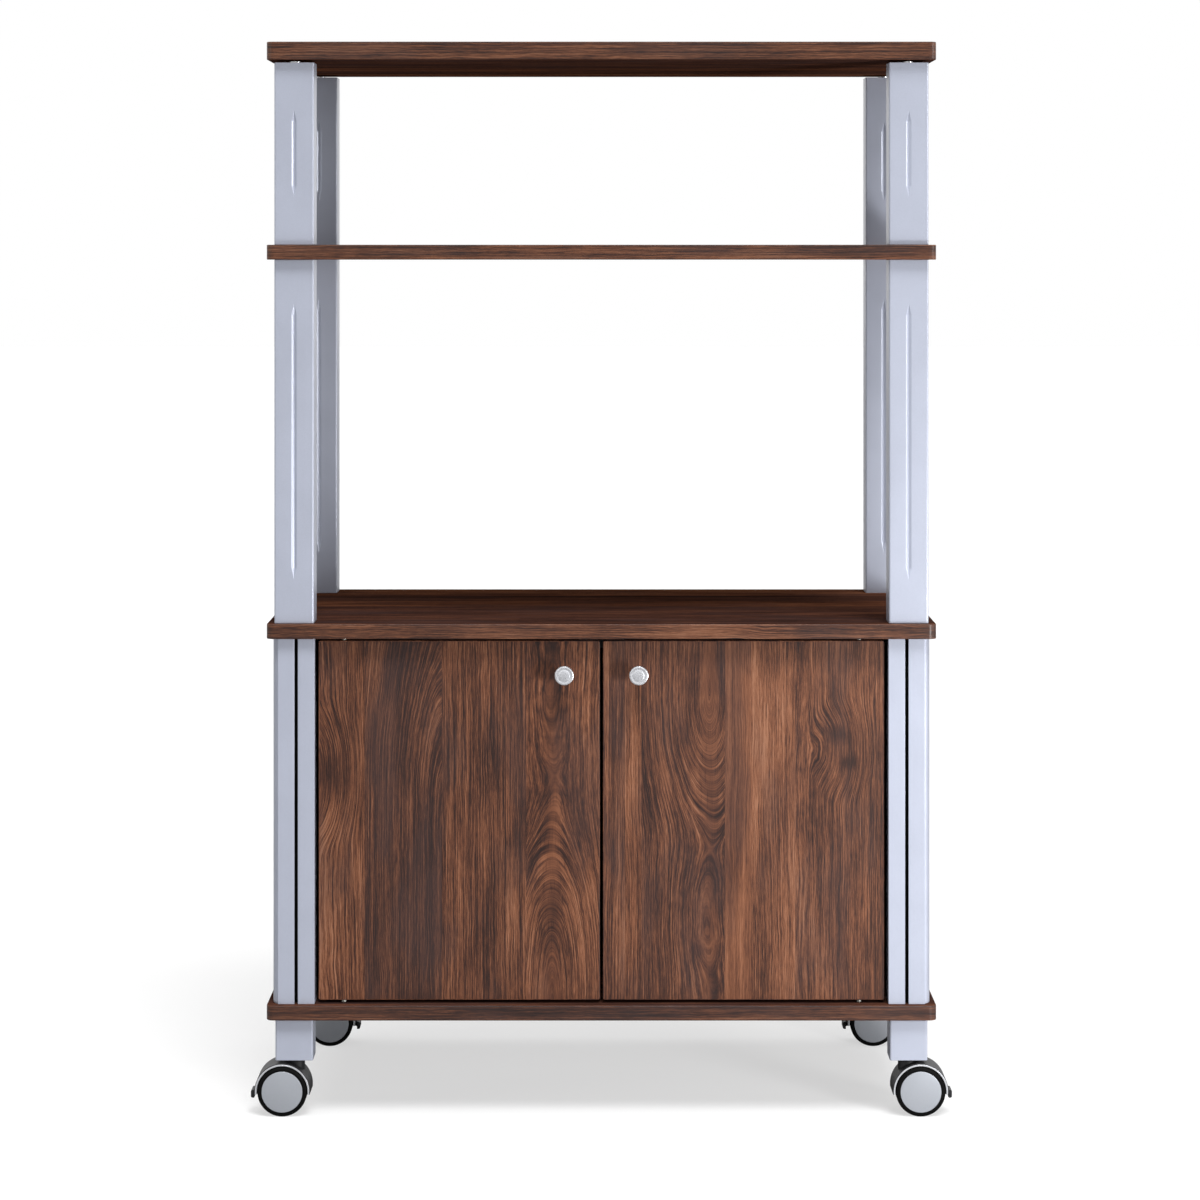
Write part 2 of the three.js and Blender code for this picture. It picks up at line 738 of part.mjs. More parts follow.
function addDoors(cart) {
  const knob = toGeometry(knobSolid());
  const pin = toGeometry(pivotPinSolid());
  for (const [label, side] of [['left', -1], ['right', 1]]) {
    const x = side * pivotX;
    const door = addAt(cart, new THREE.Group(), x, doorCentreY, cabinetFloor + doorEndGap);
    door.add(piece(`${label}_door`, toGeometry(doorSolid(side)), 'walnut'));
    const doorKnob = piece(`${label}_knob`, knob, 'steel');
    addAt(door, doorKnob, knobX(side), -doorThickness / 2, doorHeight - knobDrop);
    doorKnob.rotation.x = Math.PI / 2;
    addAt(cart, piece(`${label}_door_lower_pin`, pin, 'steel'), x, doorCentreY, cabinetFloor);
    const upperPin = piece(`${label}_door_upper_pin`, pin, 'steel');
    upperPin.rotation.x = Math.PI;
    addAt(cart, upperPin, x, doorCentreY, cabinetTopBase);
  }
}

function addCatch(cart) {
  const y = doorCentreY + doorThickness / 2 + meetingFaceGap + magnetReach + catchDepth / 2;
  addAt(cart, piece('door_catch', toGeometry(catchSolid()), 'nylon'), 0, y, cabinetTopBase - catchHeight);
}

// The front casters trail outwards and the back ones inwards, as they stand in use.
function addCasters(cart) {
  const stem = toGeometry(stemSolid());
  const housing = toGeometry(housingSolid());
  const axle = toGeometry(axleSolid());
  const wheel = toGeometry(wheelSolid());
  const lever = toGeometry(leverSolid());
  for (const { name, x, y } of corners) {
    addAt(cart, piece(`caster_stem_${name}`, stem, 'steel'), x * postX, y * postY, legBottom);
    const caster = addAt(cart, new THREE.Group(), x * postX, y * postY, 0);
    const turnedRound = x * y > 0;
    caster.rotation.z = turnedRound ? Math.PI : 0;
    caster.add(piece(`caster_housing_${name}`, housing, 'plastic'));
    addAt(caster, piece(`caster_axle_${name}`, axle, 'steel'), trail, 0, wheelRadius);
    addAt(caster, piece(`brake_lever_${name}`, lever, 'plastic'), leverPivotX, 0, leverPivotZ);
    for (const [label, facing] of [['front', -1], ['rear', 1]]) {
      const outwards = turnedRound ? -facing : facing;
      const turning = piece(`${label}_wheel_${name}`, wheel, 'plastic');
      turning.rotation.z = outwards < 0 ? Math.PI : 0;
      addAt(caster, turning, trail, 0, wheelRadius);
    }
  }
}

// The knobs stand in front of the boards, so the cart moves back by half of that overhang.
const cart = new THREE.Group();
cart.position.y = knobOverhang / 2;
addBoards(cart);
addPosts(cart);
addPanels(cart);
addDoors(cart);
addCatch(cart);
addCasters(cart);

export default cart;
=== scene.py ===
"""The looks of a microwave cart: dark walnut boards on silver posts, two doors and four casters.

Every piece is in metres, in the frame of the CAD model: +Z up, and the front faces -Y.
"""

import json
import math

import bpy
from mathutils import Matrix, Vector

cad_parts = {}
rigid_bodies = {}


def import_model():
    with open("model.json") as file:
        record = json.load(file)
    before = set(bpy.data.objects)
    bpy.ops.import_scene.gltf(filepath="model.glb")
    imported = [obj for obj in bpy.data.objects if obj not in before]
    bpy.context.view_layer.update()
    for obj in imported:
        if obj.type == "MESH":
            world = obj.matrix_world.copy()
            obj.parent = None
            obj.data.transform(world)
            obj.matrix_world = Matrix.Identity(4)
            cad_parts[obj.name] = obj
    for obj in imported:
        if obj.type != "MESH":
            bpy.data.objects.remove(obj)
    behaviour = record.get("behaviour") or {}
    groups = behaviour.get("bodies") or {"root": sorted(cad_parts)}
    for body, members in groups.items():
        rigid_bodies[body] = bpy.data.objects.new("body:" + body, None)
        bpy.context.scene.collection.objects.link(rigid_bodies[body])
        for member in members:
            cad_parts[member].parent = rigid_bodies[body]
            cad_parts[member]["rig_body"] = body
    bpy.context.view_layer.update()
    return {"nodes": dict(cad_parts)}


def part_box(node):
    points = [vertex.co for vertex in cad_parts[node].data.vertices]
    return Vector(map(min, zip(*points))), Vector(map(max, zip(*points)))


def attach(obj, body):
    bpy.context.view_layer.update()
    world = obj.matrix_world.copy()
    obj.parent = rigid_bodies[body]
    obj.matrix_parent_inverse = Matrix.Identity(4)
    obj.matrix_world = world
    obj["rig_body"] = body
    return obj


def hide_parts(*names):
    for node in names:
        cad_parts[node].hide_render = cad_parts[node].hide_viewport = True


# ---- Camera and stage ----

CAMERA_DISTANCE = 4.0855  # from the middle of the cart
CAMERA_HEIGHT = 0.8757
CAMERA_LENS = 115.95  # millimetres, as is the sensor
CAMERA_SENSOR = 36.0
CAMERA_SHIFT_X = -0.0012
CAMERA_SHIFT_Y = -0.2933

FLOOR_SIZE = 60.0

# ---- Boards, doors and panels ----

BOARD_CORNER = 0.008
BOARD_EDGE = 0.0008  # rounding along every board and door edge
DOOR_CORNER = 0.002
PANEL_EDGE = 0.0003
STRIKE_WIDTH = 0.020
STRIKE_HEIGHT = 0.0065
STRIKE_THICKNESS = 0.0002
STRIKE_SPACING = 0.026

# ---- Posts ----

POST_WIDTH = 0.040
POST_CORNER = 0.002
POST_END_EDGE = 0.0004
GROOVE_WIDTH = 0.006
GROOVE_DEPTH = 0.002
GROOVE_TAPER = 0.012
GROOVE_SEED = 0.0003  # half width of the groove's very tip
UPPER_GROOVE_MARGIN = 0.048
MIDDLE_GROOVE_MARGIN = 0.044
LEG_WALL = 0.0015
LEG_PLUG_RECESS = 0.0008

INNER_OVERHANG = 0.0005
OUTER_OVERHANG = 0.0023
LOBE_REACH = 0.0058
LOBE_STEP = 0.004
SLOT_WIDTH = 0.0034
SLOT_DEPTH = 0.010
PANEL_SLOT_DEPTH = 0.008
PROFILE_EDGE = 0.00045
PROFILE_INNER = -POST_WIDTH / 2 - INNER_OVERHANG
PROFILE_CORE = POST_WIDTH / 2 + OUTER_OVERHANG - LOBE_REACH
SLOT_MIDDLE = (PROFILE_CORE + PROFILE_INNER) / 2

STUD_RADIUS = 0.004
STUD_CHAMFER = 0.0008
FLANGE_EDGE = 0.0006
FLANGE_HEIGHT = 0.0025
FLANGE_RADIUS = 0.0055

# ---- Knobs, pins and catch ----

KNOB_RADIUS = 0.0097
KNOB_PROJECTION = 0.024
KNOB_HEAD = 0.008
KNOB_RIM = 0.0018
KNOB_DISH = 0.0005
KNOB_NECK = 0.0045
KNOB_FOOT = 0.007
KNOB_FOOT_HEIGHT = 0.0015
KNOB_FLARE = 0.003
SCREW_RADIUS = 0.002
SCREW_HEAD_RADIUS = 0.004
SCREW_HEAD_HEIGHT = 0.0022

PIN_RADIUS = 0.002
PIN_COLLAR_RADIUS = 0.0028
PIN_SEAT = 0.008
PIN_COLLAR_TOP = 0.0027
PIN_TIP = 0.014

MAGNET_REACH = 0.002
MAGNET_HEIGHT = 0.007
MAGNET_WIDTH = 0.016

# ---- Casters ----

WHEEL_RADIUS = 0.025
WHEEL_INNER = 0.006
WHEEL_OUTER = 0.0235
TREAD_ROUND = 0.003
CAP_RADIUS = 0.0206
CAP_SINK = 0.0009
CAP_DOME = 0.0014
CAP_EDGE = 0.0005
TRAIL = 0.012
AXLE_BORE = 0.0034

HOOD_INNER = 0.026
HOOD_OUTER = 0.028
HOOD_HALF_WIDTH = 0.022
HOOD_START = math.radians(-6.0)
HOOD_STOP = math.pi - HOOD_START
TRIM_WIDTH = 0.0011
TRIM_INNER = 0.0257
TRIM_OUTER = 0.0274
WEB_THICKNESS = 0.010
WEB_FLANK = math.radians(36.0)
HUB_RADIUS = 0.008
BOSS_RADIUS = 0.0095
BOSS_TOP = 0.0537
BOSS_EDGE = 0.0008
SWIVEL_BORE = 0.0034
SWIVEL_DEPTH = 0.025
HOUSING_EDGE = 0.0004

STEM_RADIUS = 0.003
STEM_GRIP = 0.0007
COLLAR_RADIUS = 0.0065
COLLAR_HEIGHT = 0.002
SHANK_RADIUS = 0.0055
SHANK_LENGTH = 0.022

LEVER_THICKNESS = 0.0054
LEVER_EYE = 0.0045
LEVER_PIVOT_X = 0.026
LEVER_PIVOT_Z = 0.027
LEVER_ARM_HEIGHT = 0.006
LEVER_ARM_DROP = 0.0065
LEVER_CLEARANCE = 0.0006
TRUNNION_RADIUS = 0.002
TRUNNION_LENGTH = 0.0094
TAB_WIDTH = 0.020
TAB_HEIGHT = 0.008
TAB_THICKNESS = 0.0035
TAB_GAP = 0.001
TAB_EDGE = 0.0008

# ---- Facets ----

CORNER_STEPS = 8
EDGE_STEPS = 4
ROUND_STEPS = 48
WHEEL_STEPS = 112
HOOD_STEPS = 72
GROOVE_STEPS = 12
TAPER_STEPS = 8
LOBE_STEPS = 24
SMOOTH_ANGLE = math.radians(32.0)
SOFTEN_ANGLE = math.radians(40.0)
SOFTEN_STEPS = 3
RIGHT_ANGLE = math.pi / 2
FLAT_FACE = 0.99  # least share of a flat face's normal along its axis
BOARD_FACE = 0.7  # the same where the rounded edge counts half as face and half as edge
WALL_FACE = 0.5  # most share of a wall's normal along Z
TINY = 1e-5

CORNERS = {
    "front_left": (-1, -1),
    "front_right": (1, -1),
    "back_left": (-1, 1),
    "back_right": (1, 1),
}

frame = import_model()


# ---- Outlines and lofts ----


def arc(x, y, radius, start, end, steps, stretch=1.0):
    """Points along an arc about (x, y). Stretch makes it an ellipse that is wider along X."""
    points = []
    for step in range(steps + 1):
        angle = start + (end - start) * step / steps
        points.append((x + stretch * radius * math.cos(angle), y + radius * math.sin(angle)))
    return points


def quarter_arc(x, y, radius, turn, steps=CORNER_STEPS):
    """A quarter circle that starts a number of right angles round from +X."""
    return arc(x, y, radius, turn * RIGHT_ANGLE, (turn + 1) * RIGHT_ANGLE, steps)


def rounded_rectangle(width, depth, radius, steps=CORNER_STEPS):
    """A centred outline, anticlockwise."""
    x = width / 2 - radius
    y = depth / 2 - radius
    outline = []
    for turn, (centre_x, centre_y) in enumerate([(x, y), (-x, y), (-x, -y), (x, -y)]):
        outline += quarter_arc(centre_x, centre_y, radius, turn, steps)
    return outline


def edge_profile(edge):
    """Pairs (inset, rise) round a quarter circle, from the end face to the side."""
    pairs = []
    for step in range(EDGE_STEPS + 1):
        angle = RIGHT_ANGLE * step / EDGE_STEPS
        pairs.append((edge * (1 - math.sin(angle)), edge * (1 - math.cos(angle))))
    return pairs


def at_height(outline, z):
    return [(x, y, z) for x, y in outline]


def shifted(x=0.0, y=0.0):
    return lambda point: (point[0] + x, point[1] + y, point[2])


def upright(x, y, z, side=1, out=-1):
    """Stands up a piece that is drawn lying: its Y points up, and its Z points along Y. Side and out
    are 1 or -1, for the way that its X and Z point."""
    return lambda point: (x + side * point[0], y + out * point[2], z + point[1])


def sideways(x, y, z):
    """Stands up a piece that is drawn lying: its Y points up, and its Z points along X."""
    return lambda point: (x + point[2], y + point[0], z + point[1])


def loft(rings, place=shifted()):
    """Vertices and faces of a body that joins rings of points and is closed at both ends."""
    count = len(rings[0])
    vertices = [place(point) for ring in rings for point in ring]
    faces = [tuple(reversed(range(count)))]
    for level in range(len(rings) - 1):
        lower = level * count
        upper = lower + count
        for index in range(count):
            following = (index + 1) % count
            faces.append((lower + index, lower + following, upper + following, upper + index))
    faces.append(tuple(range((len(rings) - 1) * count, len(rings) * count)))
    return vertices, faces


def slab(width, depth, radius, bottom, top, edge, place):
    """A rounded slab whose edges are rounded off."""
    profile = edge_profile(edge)
    levels = [(inset, bottom + rise) for inset, rise in profile]
    levels += [(inset, top - rise) for inset, rise in reversed(profile)]
    rings = []
    for inset, z in levels:
        outline = rounded_rectangle(width - 2 * inset, depth - 2 * inset, radius - inset)
        rings.append(at_height(outline, z))
    return loft(rings, place)


def turned(profile, place=shifted(), steps=ROUND_STEPS):
    """Vertices and faces of a body turned about Z from points (radius, height), bottom to top."""
    vertices = []
    rings = []
    for radius, height in profile:
        start = len(vertices)
        count = 1 if radius == 0.0 else steps
        for step in range(count):
            angle = 2 * math.pi * step / count
            vertices.append(place((radius * math.cos(angle), radius * math.sin(angle), height)))
        rings.append(range(start, start + count))
    faces = []
    for lower, upper in zip(rings, rings[1:]):
        for step in range(steps):
            following = (step + 1) % steps
            corners = [lower[step % len(lower)], lower[following % len(lower)],
                       upper[following % len(upper)], upper[step % len(upper)]]
            faces.append(tuple(dict.fromkeys(corners)))
    return vertices, faces


def rounded_profile(corners):
    """Points (radius, height) from corners (radius, height), some of which have a rounding as well."""
    points = []
    for index, (radius, height, *rounding) in enumerate(corners):
        if not rounding:
            points.append((radius, height))
            continue
        here = Vector((radius, height))
        before = Vector(corners[index - 1][:2]) - here
        after = Vector(corners[index + 1][:2]) - here
        start = here + before.normalized() * rounding[0]
        end = here + after.normalized() * rounding[0]
        for step in range(EDGE_STEPS + 1):
            share = step / EDGE_STEPS
            point = start * (1 - share) ** 2 + here * 2 * share * (1 - share) + end * share ** 2
            points.append((max(point.x, 0.0), point.y))
    return points


# ---- Objects ----


def bake_modifiers(piece):
    """Turns a piece's modifiers into its mesh."""
    evaluated = piece.evaluated_get(bpy.context.evaluated_depsgraph_get())
    mesh = bpy.data.meshes.new_from_object(evaluated)
    piece.modifiers.clear()
    piece.data = mesh
    return piece


def smoothed(piece):
    """Shades a piece so that only its rounded edges turn the light, and wide faces stay flat."""
    piece.data.shade_smooth()
    piece.data.set_sharp_from_angle(angle=SMOOTH_ANGLE)
    modifier = piece.modifiers.new("flatten", "WEIGHTED_NORMAL")
    modifier.keep_sharp = True
    return bake_modifiers(piece)


def new_object(name, shape, *materials):
    """An object from a shape, which is a pair of vertices and faces."""
    vertices, faces = shape
    mesh = bpy.data.meshes.new(name)
    mesh.from_pydata(vertices, [], faces)
    for material in materials:
        mesh.materials.append(material)
    piece = bpy.data.objects.new(name, mesh)
    bpy.context.scene.collection.objects.link(piece)
    return smoothed(piece)


def settle(piece, body, slot, *nodes):
    """Says what a piece rides on and hides the nodes that it stands for. The slot, which would name its
    finish, is not used.
    """
    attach(piece, body)
    if nodes:
        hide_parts(*nodes)
    return piece


def body_of(node):
    return frame["nodes"][node]["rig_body"]


def stand_in(node, shape, slot, *materials):
    """A finer piece that is shown in place of a CAD node."""
    piece = new_object("fine_" + node, shape, *materials)
    return settle(piece, body_of(node), slot, node)


def combine(piece, operation, tool):
    """Joins or cuts a piece with another one, which is used up."""
    modifier = piece.modifiers.new(operation.lower(), "BOOLEAN")
    modifier.operation = operation
    modifier.object = tool
    bake_modifiers(piece)
    bpy.data.objects.remove(tool)


def soften(piece, width):
    """Rounds off a piece's sharp edges."""
    modifier = piece.modifiers.new("soften", "BEVEL")
    modifier.width = width
    modifier.segments = SOFTEN_STEPS
    modifier.limit_method = "ANGLE"
    modifier.angle_limit = SOFTEN_ANGLE
    bake_modifiers(piece)
    return smoothed(piece)


# ---- Shader nodes ----

NOISE_MIDDLE = 0.5


class Nodes:
    """Fills the node tree of a material or a world by short calls."""

    def __init__(self, owner, output):
        owner.use_nodes = True
        self.tree = owner.node_tree
        self.tree.nodes.clear()
        self.output = self.tree.nodes.new(output)

    def end(self, shader):
        self.tree.links.new(shader.outputs[0], self.output.inputs[0])

    def node(self, kind, inputs, **settings):
        made = self.tree.nodes.new(kind)
        for name, setting in settings.items():
            setattr(made, name, setting)
        for name, value in inputs.items():
            socket = made.inputs[name]
            if isinstance(value, bpy.types.NodeSocket):
                self.tree.links.new(value, socket)
            else:
                socket.default_value = value
        return made

    def math(self, operation, first, second=0.0):
        return self.node("ShaderNodeMath", {0: first, 1: second}, operation=operation).outputs[0]

    def add(self, first, second):
        return self.math("ADD", first, second)

    def subtract(self, first, second):
        return self.math("SUBTRACT", first, second)

    def scale(self, first, second):
        return self.math("MULTIPLY", first, second)

    def vector(self, x, y, z=0.0):
        return self.node("ShaderNodeCombineXYZ", {0: x, 1: y, 2: z}).outputs[0]

    def length(self, x, y):
        made = self.node("ShaderNodeVectorMath", {0: self.vector(x, y)}, operation="LENGTH")
        return made.outputs["Value"]

    def noise(self, vector, scale=1.0, detail=2.0, roughness=0.5):
        inputs = {"Vector": vector, "Scale": scale, "Detail": detail, "Roughness": roughness}
        return self.node("ShaderNodeTexNoise", inputs).outputs["Fac"]

    def grain(self, axes, stretch, detail=2.0, roughness=0.5):
        """Noise whose axes are each stretched by their own factor."""
        place = self.vector(*[self.scale(axis, factor) for axis, factor in zip(axes, stretch)])
        return self.noise(place, detail=detail, roughness=roughness)

    def swing(self, noise, size):
        """Noise that swings about zero."""
        return self.scale(self.subtract(noise, NOISE_MIDDLE), size)

    def fit(self, value, low, high, new_low=0.0, new_high=1.0):
        inputs = {0: value, 1: low, 2: high, 3: new_low, 4: new_high}
        return self.node("ShaderNodeMapRange", inputs, interpolation_type="SMOOTHSTEP").outputs[0]

    def ramp(self, factor, stops, interpolation="LINEAR"):
        made = self.node("ShaderNodeValToRGB", {0: factor})
        made.color_ramp.interpolation = interpolation
        elements = made.color_ramp.elements
        while len(elements) < len(stops):
            elements.new(0.5)
        for element, (position, colour) in zip(elements, stops):
            element.position = position
            element.color = colour if len(colour) == 4 else (*colour, 1.0)
        return made

    def mix(self, factor, first, second, blend="MIX"):
        made = self.node("ShaderNodeMix", {0: factor, 6: first, 7: second},
                         data_type="RGBA", blend_type=blend)
        return made.outputs[2]

    def tint(self, factor, colour, darkest):
        """A colour that falls to a share of itself where the factor is low."""
        return self.mix(factor, (*[darkest * part for part in colour], 1.0), (*colour, 1.0))

    def bump(self, height, strength, distance):
        inputs = {"Height": height, "Strength": strength, "Distance": distance}
        return self.node("ShaderNodeBump", inputs).outputs[0]


class Shader(Nodes):
    """The nodes of one material, with the object's own coordinates."""

    def __init__(self, name):
        self.material = bpy.data.materials.new(name)
        super().__init__(self.material, "ShaderNodeOutputMaterial")
        self.place = self.node("ShaderNodeTexCoord", {}).outputs["Object"]
        self.x, self.y, self.z = self.node("ShaderNodeSeparateXYZ", {0: self.place}).outputs

    @property
    def edge(self):
        """Runs along X on the front and back edges and along Y on the sides."""
        return self.add(self.x, self.y)

    def finish(self, **inputs):
        """Ends the material in one Principled shader: Base_Color stands for Base Color."""
        named = {name.replace("_", " "): value for name, value in inputs.items()}
        self.end(self.node("ShaderNodeBsdfPrincipled", named))
        return self.material


# ---- Wood ----

STAVE_WIDTH = 0.062
RING_SPACING = 0.0030
ARCH_DEPTH = 0.042  # how far the growth rings dip behind the surface along an arch
KNOT_RISE = 0.040  # how far a knot brings the tree's heart up
WOBBLE = 0.013  # how far the rings stray
FINE_WOBBLE = 0.0030
SHARE_SPANS = 3.0  # spans from a share of 0 to a share of 1
SHARE_LEAD = 1.0  # a share of 0 lies this many spans before the origin

# How fast each noise changes across the board, along it, and from one stave's shade to another's.
WOBBLE_STRETCH = (11.0, 6.0, 40.0)
FINE_STRETCH = (70.0, 30.0, 1.0)
CLOUD_STRETCH = (34.0, 6.5, 3.0)
HAZE_STRETCH = (26.0, 7.0, 21.0)
PORE_STRETCH = (900.0, 45.0, 1.0)
PORE_LAYER = 7.0  # the same pores run on from stave to stave

# The same for noises that follow the rings instead: from ring to ring, along, and by shade.
FIGURE_STRETCH = (1.0, 30.0)  # the figure doesn't change along the board
STREAK_STRETCH = (3.0, 9.0, 9.0)
FLECK_STRETCH = (5.0, 75.0, 5.0)
HAIR_STRETCH = (8.0, 4.0, 11.0)

# How much each layer adds to the wood's lightness, and what a stave's shade adds to the base.
LIGHTNESS = 0.32
SHADE_WEIGHT = 0.34
FIGURE_WEIGHT = 0.60
STREAK_WEIGHT = 1.90
FLECK_WEIGHT = 0.85
CLOUD_WEIGHT = 0.75
PORE_WEIGHT = 0.15
HAIR_WEIGHT = 0.12

# Ranges: the low and the high end of what goes in, and what comes out for them, 0 and 1 if not said.
CALM_RANGE = (0.0, 0.014, 0.40, 1.0)  # the rings' strength, by the distance from the heart
PALE_RANGE = (0.86, 0.96, 1.0, 0.55)  # their strength on pale staves, by the shade
PORE_RANGE = (0.52, 0.72)
HAIR_RANGE = (0.56, 0.66)
STAIN_RANGE = (0.40, 0.62, 0.05, 0.48)  # how dark a stain is, by the streaks
HAZE_RANGE = (0.46, 0.66, 0.0, 0.30)
COOL_RANGE = (0.2, 0.6, 0.20, 0.0)  # how cool dark staves are, by the shade

FIGURE_SPAN = (0.2, 0.8)  # where the roughness rises with the figure
WOOD_SPREAD = 0.10
RELIEF_STREAK = 0.4

WOOD_COOL = (0.052, 0.0320, 0.0310)
WOOD_COLOURS = [
    (0.00, (0.016, 0.0080, 0.0068)),
    (0.26, (0.046, 0.0185, 0.0125)),
    (0.52, (0.126, 0.0465, 0.0245)),
    (0.80, (0.248, 0.0980, 0.0490)),
    (1.00, (0.320, 0.1480, 0.0840)),
]  # the colour at each lightness


def white(value):
    return (value, value, value, 1.0)


def random_staves(shader, across):
    """A heart, the two ends of an arch and a shade for each stave, by chance."""
    index = shader.math("FLOOR", shader.scale(across, 1 / STAVE_WIDTH))
    chance = shader.node("ShaderNodeTexWhiteNoise", {"W": index}, noise_dimensions="1D")
    split = shader.node("ShaderNodeSeparateXYZ", {0: chance.outputs["Color"]})
    return (*split.outputs, chance.outputs["Value"])


def listed_staves(shader, across, start, width, staves):
    """The same four values from a list of (start, heart, arch from, arch to, shade)."""
    factor = shader.scale(shader.subtract(across, start), 1 / width)
    stops = [(begin, tuple(values)) for begin, *values in staves]
    ramp = shader.ramp(factor, stops, "CONSTANT")
    split = shader.node("ShaderNodeSeparateColor", {0: ramp.outputs[0]})
    return (*split.outputs, ramp.outputs[1])


def bump_at(shader, across, along, centre, reach, height):
    """A height at a centre, falling to 0 at its reach."""
    side = shader.scale(shader.subtract(across, centre[0]), 1 / reach[0])
    length = shader.scale(shader.subtract(along, centre[1]), 1 / reach[1])
    return shader.scale(shader.fit(shader.length(side, length), 0.0, 1.0, 1.0, 0.0), height)


def stave_place(shader, share, origin, span):
    """Where a share from 0 to 1 lies."""
    spans = shader.subtract(shader.scale(share, SHARE_SPANS), SHARE_LEAD)
    return shader.add(shader.scale(spans, span), origin)


def growth_rings(shader, across, along, stave, knots, origin, span):
    """How many growth rings lie between the surface and the tree's heart, and how strongly they show.
    The rings dip behind the surface between an arch's two ends, which draws nested arches, and they are
    faint along the heart, where the cut runs flat to them. They close round a knot."""
    heart, arch_from, arch_to, shade = stave
    wobble = shader.swing(shader.grain((across, along, shade), WOBBLE_STRETCH), WOBBLE)
    fine = shader.swing(shader.grain((across, along, shade), FINE_STRETCH, detail=3.0), FINE_WOBBLE)
    arch = [stave_place(shader, end, origin[1], span[1]) for end in (arch_from, arch_to)]
    depth = shader.add(shader.scale(shader.fit(along, *arch), ARCH_DEPTH), wobble)
    for centre, reach in knots:
        depth = shader.subtract(depth, bump_at(shader, across, along, centre, reach, KNOT_RISE))
    side = shader.add(shader.subtract(across, stave_place(shader, heart, origin[0], span[0])), fine)
    calm = shader.fit(shader.math("ABSOLUTE", side), *CALM_RANGE)
    return shader.scale(shader.length(side, depth), 1 / RING_SPACING), calm


def walnut(name, across, along, staves, tone=1.0, contrast=1.30, knots=(), stains=(), gloss=0.46,
           shine=0.22, origin=(0.0, 0.0), span=(0.3, 0.36)):
    """Walnut foil: growth rings cut lengthwise, so that each stave shows arches, with pores on top.
    Across and along name axes of the shader. Origin and span place the staves' hearts and arches."""
    shader = Shader(name)
    across = getattr(shader, across)
    along = getattr(shader, along)
    stave = staves(shader, across)
    shade = stave[3]
    rings, calm = growth_rings(shader, across, along, stave, knots, origin, span)
    board = (across, along, shade)
    grown = (rings, along, shade)
    figure = shader.grain((rings, shade), FIGURE_STRETCH, detail=3.0, roughness=0.70)
    streak = shader.grain(grown, STREAK_STRETCH, detail=5.0, roughness=0.80)
    flecks = shader.grain(grown, FLECK_STRETCH, detail=3.0, roughness=0.75)
    hairs = shader.fit(shader.grain(grown, HAIR_STRETCH), *HAIR_RANGE)
    cloud = shader.grain(board, CLOUD_STRETCH, detail=3.0)
    haze = shader.fit(shader.grain(board, HAZE_STRETCH, detail=3.0), *HAZE_RANGE)
    pores = shader.grain((across, along, PORE_LAYER), PORE_STRETCH, roughness=0.6)
    pores = shader.fit(pores, *PORE_RANGE)
    value = shader.add(shader.scale(shade, SHADE_WEIGHT), LIGHTNESS)
    strength = shader.scale(calm, shader.fit(shade, *PALE_RANGE))
    for layer, weight in ((figure, FIGURE_WEIGHT), (streak, STREAK_WEIGHT), (flecks, FLECK_WEIGHT)):
        value = shader.add(value, shader.scale(shader.swing(layer, contrast * weight), strength))
    value = shader.add(value, shader.swing(cloud, contrast * CLOUD_WEIGHT))
    for centre, reach in stains:
        stain = shader.fit(streak, *STAIN_RANGE)
        value = shader.subtract(value, bump_at(shader, across, along, centre, reach, stain))
    for marks, weight in ((pores, PORE_WEIGHT), (hairs, HAIR_WEIGHT)):
        value = shader.subtract(value, shader.scale(marks, weight))
    colour = shader.ramp(value, WOOD_COLOURS).outputs[0]
    cool = shader.add(haze, shader.fit(shade, *COOL_RANGE))
    cooler = shader.mix(cool, colour, (*WOOD_COOL, 1.0))
    relief = shader.subtract(shader.scale(streak, RELIEF_STREAK), pores)
    return shader.finish(
        Base_Color=shader.mix(1.0, cooler, white(tone), "MULTIPLY"),
        Roughness=shader.fit(figure, *FIGURE_SPAN, gloss, gloss + WOOD_SPREAD),
        Normal=shader.bump(relief, strength=0.22, distance=0.0002),
        Specular_IOR_Level=shine,
    )


# ---- Metal and plastic ----

FLAKE_WEIGHT = 0.10
CLOUD_SHINE = 0.06
GLOSS_SPREAD = 0.12
COAT_SPREAD = 0.03

# The low and the high end of a noise, between which a colour or a roughness changes.
SHINE_SPAN = (0.04, 0.12)
COAT_SPAN = (0.1, 0.9)
MARK_SPAN = (0.3, 0.7)
MOULD_SPAN = (0.35, 0.65)


def silver_paint(name, colour, metallic, gloss):
    """Silver powder coat: fine metal flakes in the colour and a slight orange peel."""
    shader = Shader(name)
    flakes = shader.noise(shader.place, scale=2600.0, detail=1.0)
    clouds = shader.noise(shader.place, scale=18.0, detail=3.0)
    peel = shader.noise(shader.place, scale=900.0)
    shine = shader.add(shader.scale(flakes, FLAKE_WEIGHT), shader.scale(clouds, CLOUD_SHINE))
    return shader.finish(
        Base_Color=shader.tint(shader.fit(shine, *SHINE_SPAN), colour, darkest=0.86),
        Metallic=metallic,
        Roughness=shader.fit(clouds, *COAT_SPAN, gloss, gloss + COAT_SPREAD),
        Normal=shader.bump(peel, strength=0.06, distance=0.00008),
    )


def brushed_metal(name, colour, gloss, stretch):
    """Metal with fine marks left by turning or drawing. Stretch says how fine they are per axis."""
    shader = Shader(name)
    marks = shader.grain((shader.x, shader.y, shader.z), stretch, detail=3.0, roughness=0.7)
    return shader.finish(
        Base_Color=shader.tint(shader.fit(marks, *MARK_SPAN), colour, darkest=0.8),
        Metallic=1.0,
        Roughness=shader.fit(marks, *MARK_SPAN, gloss, gloss + GLOSS_SPREAD),
        Normal=shader.bump(marks, strength=0.08, distance=0.00005),
    )


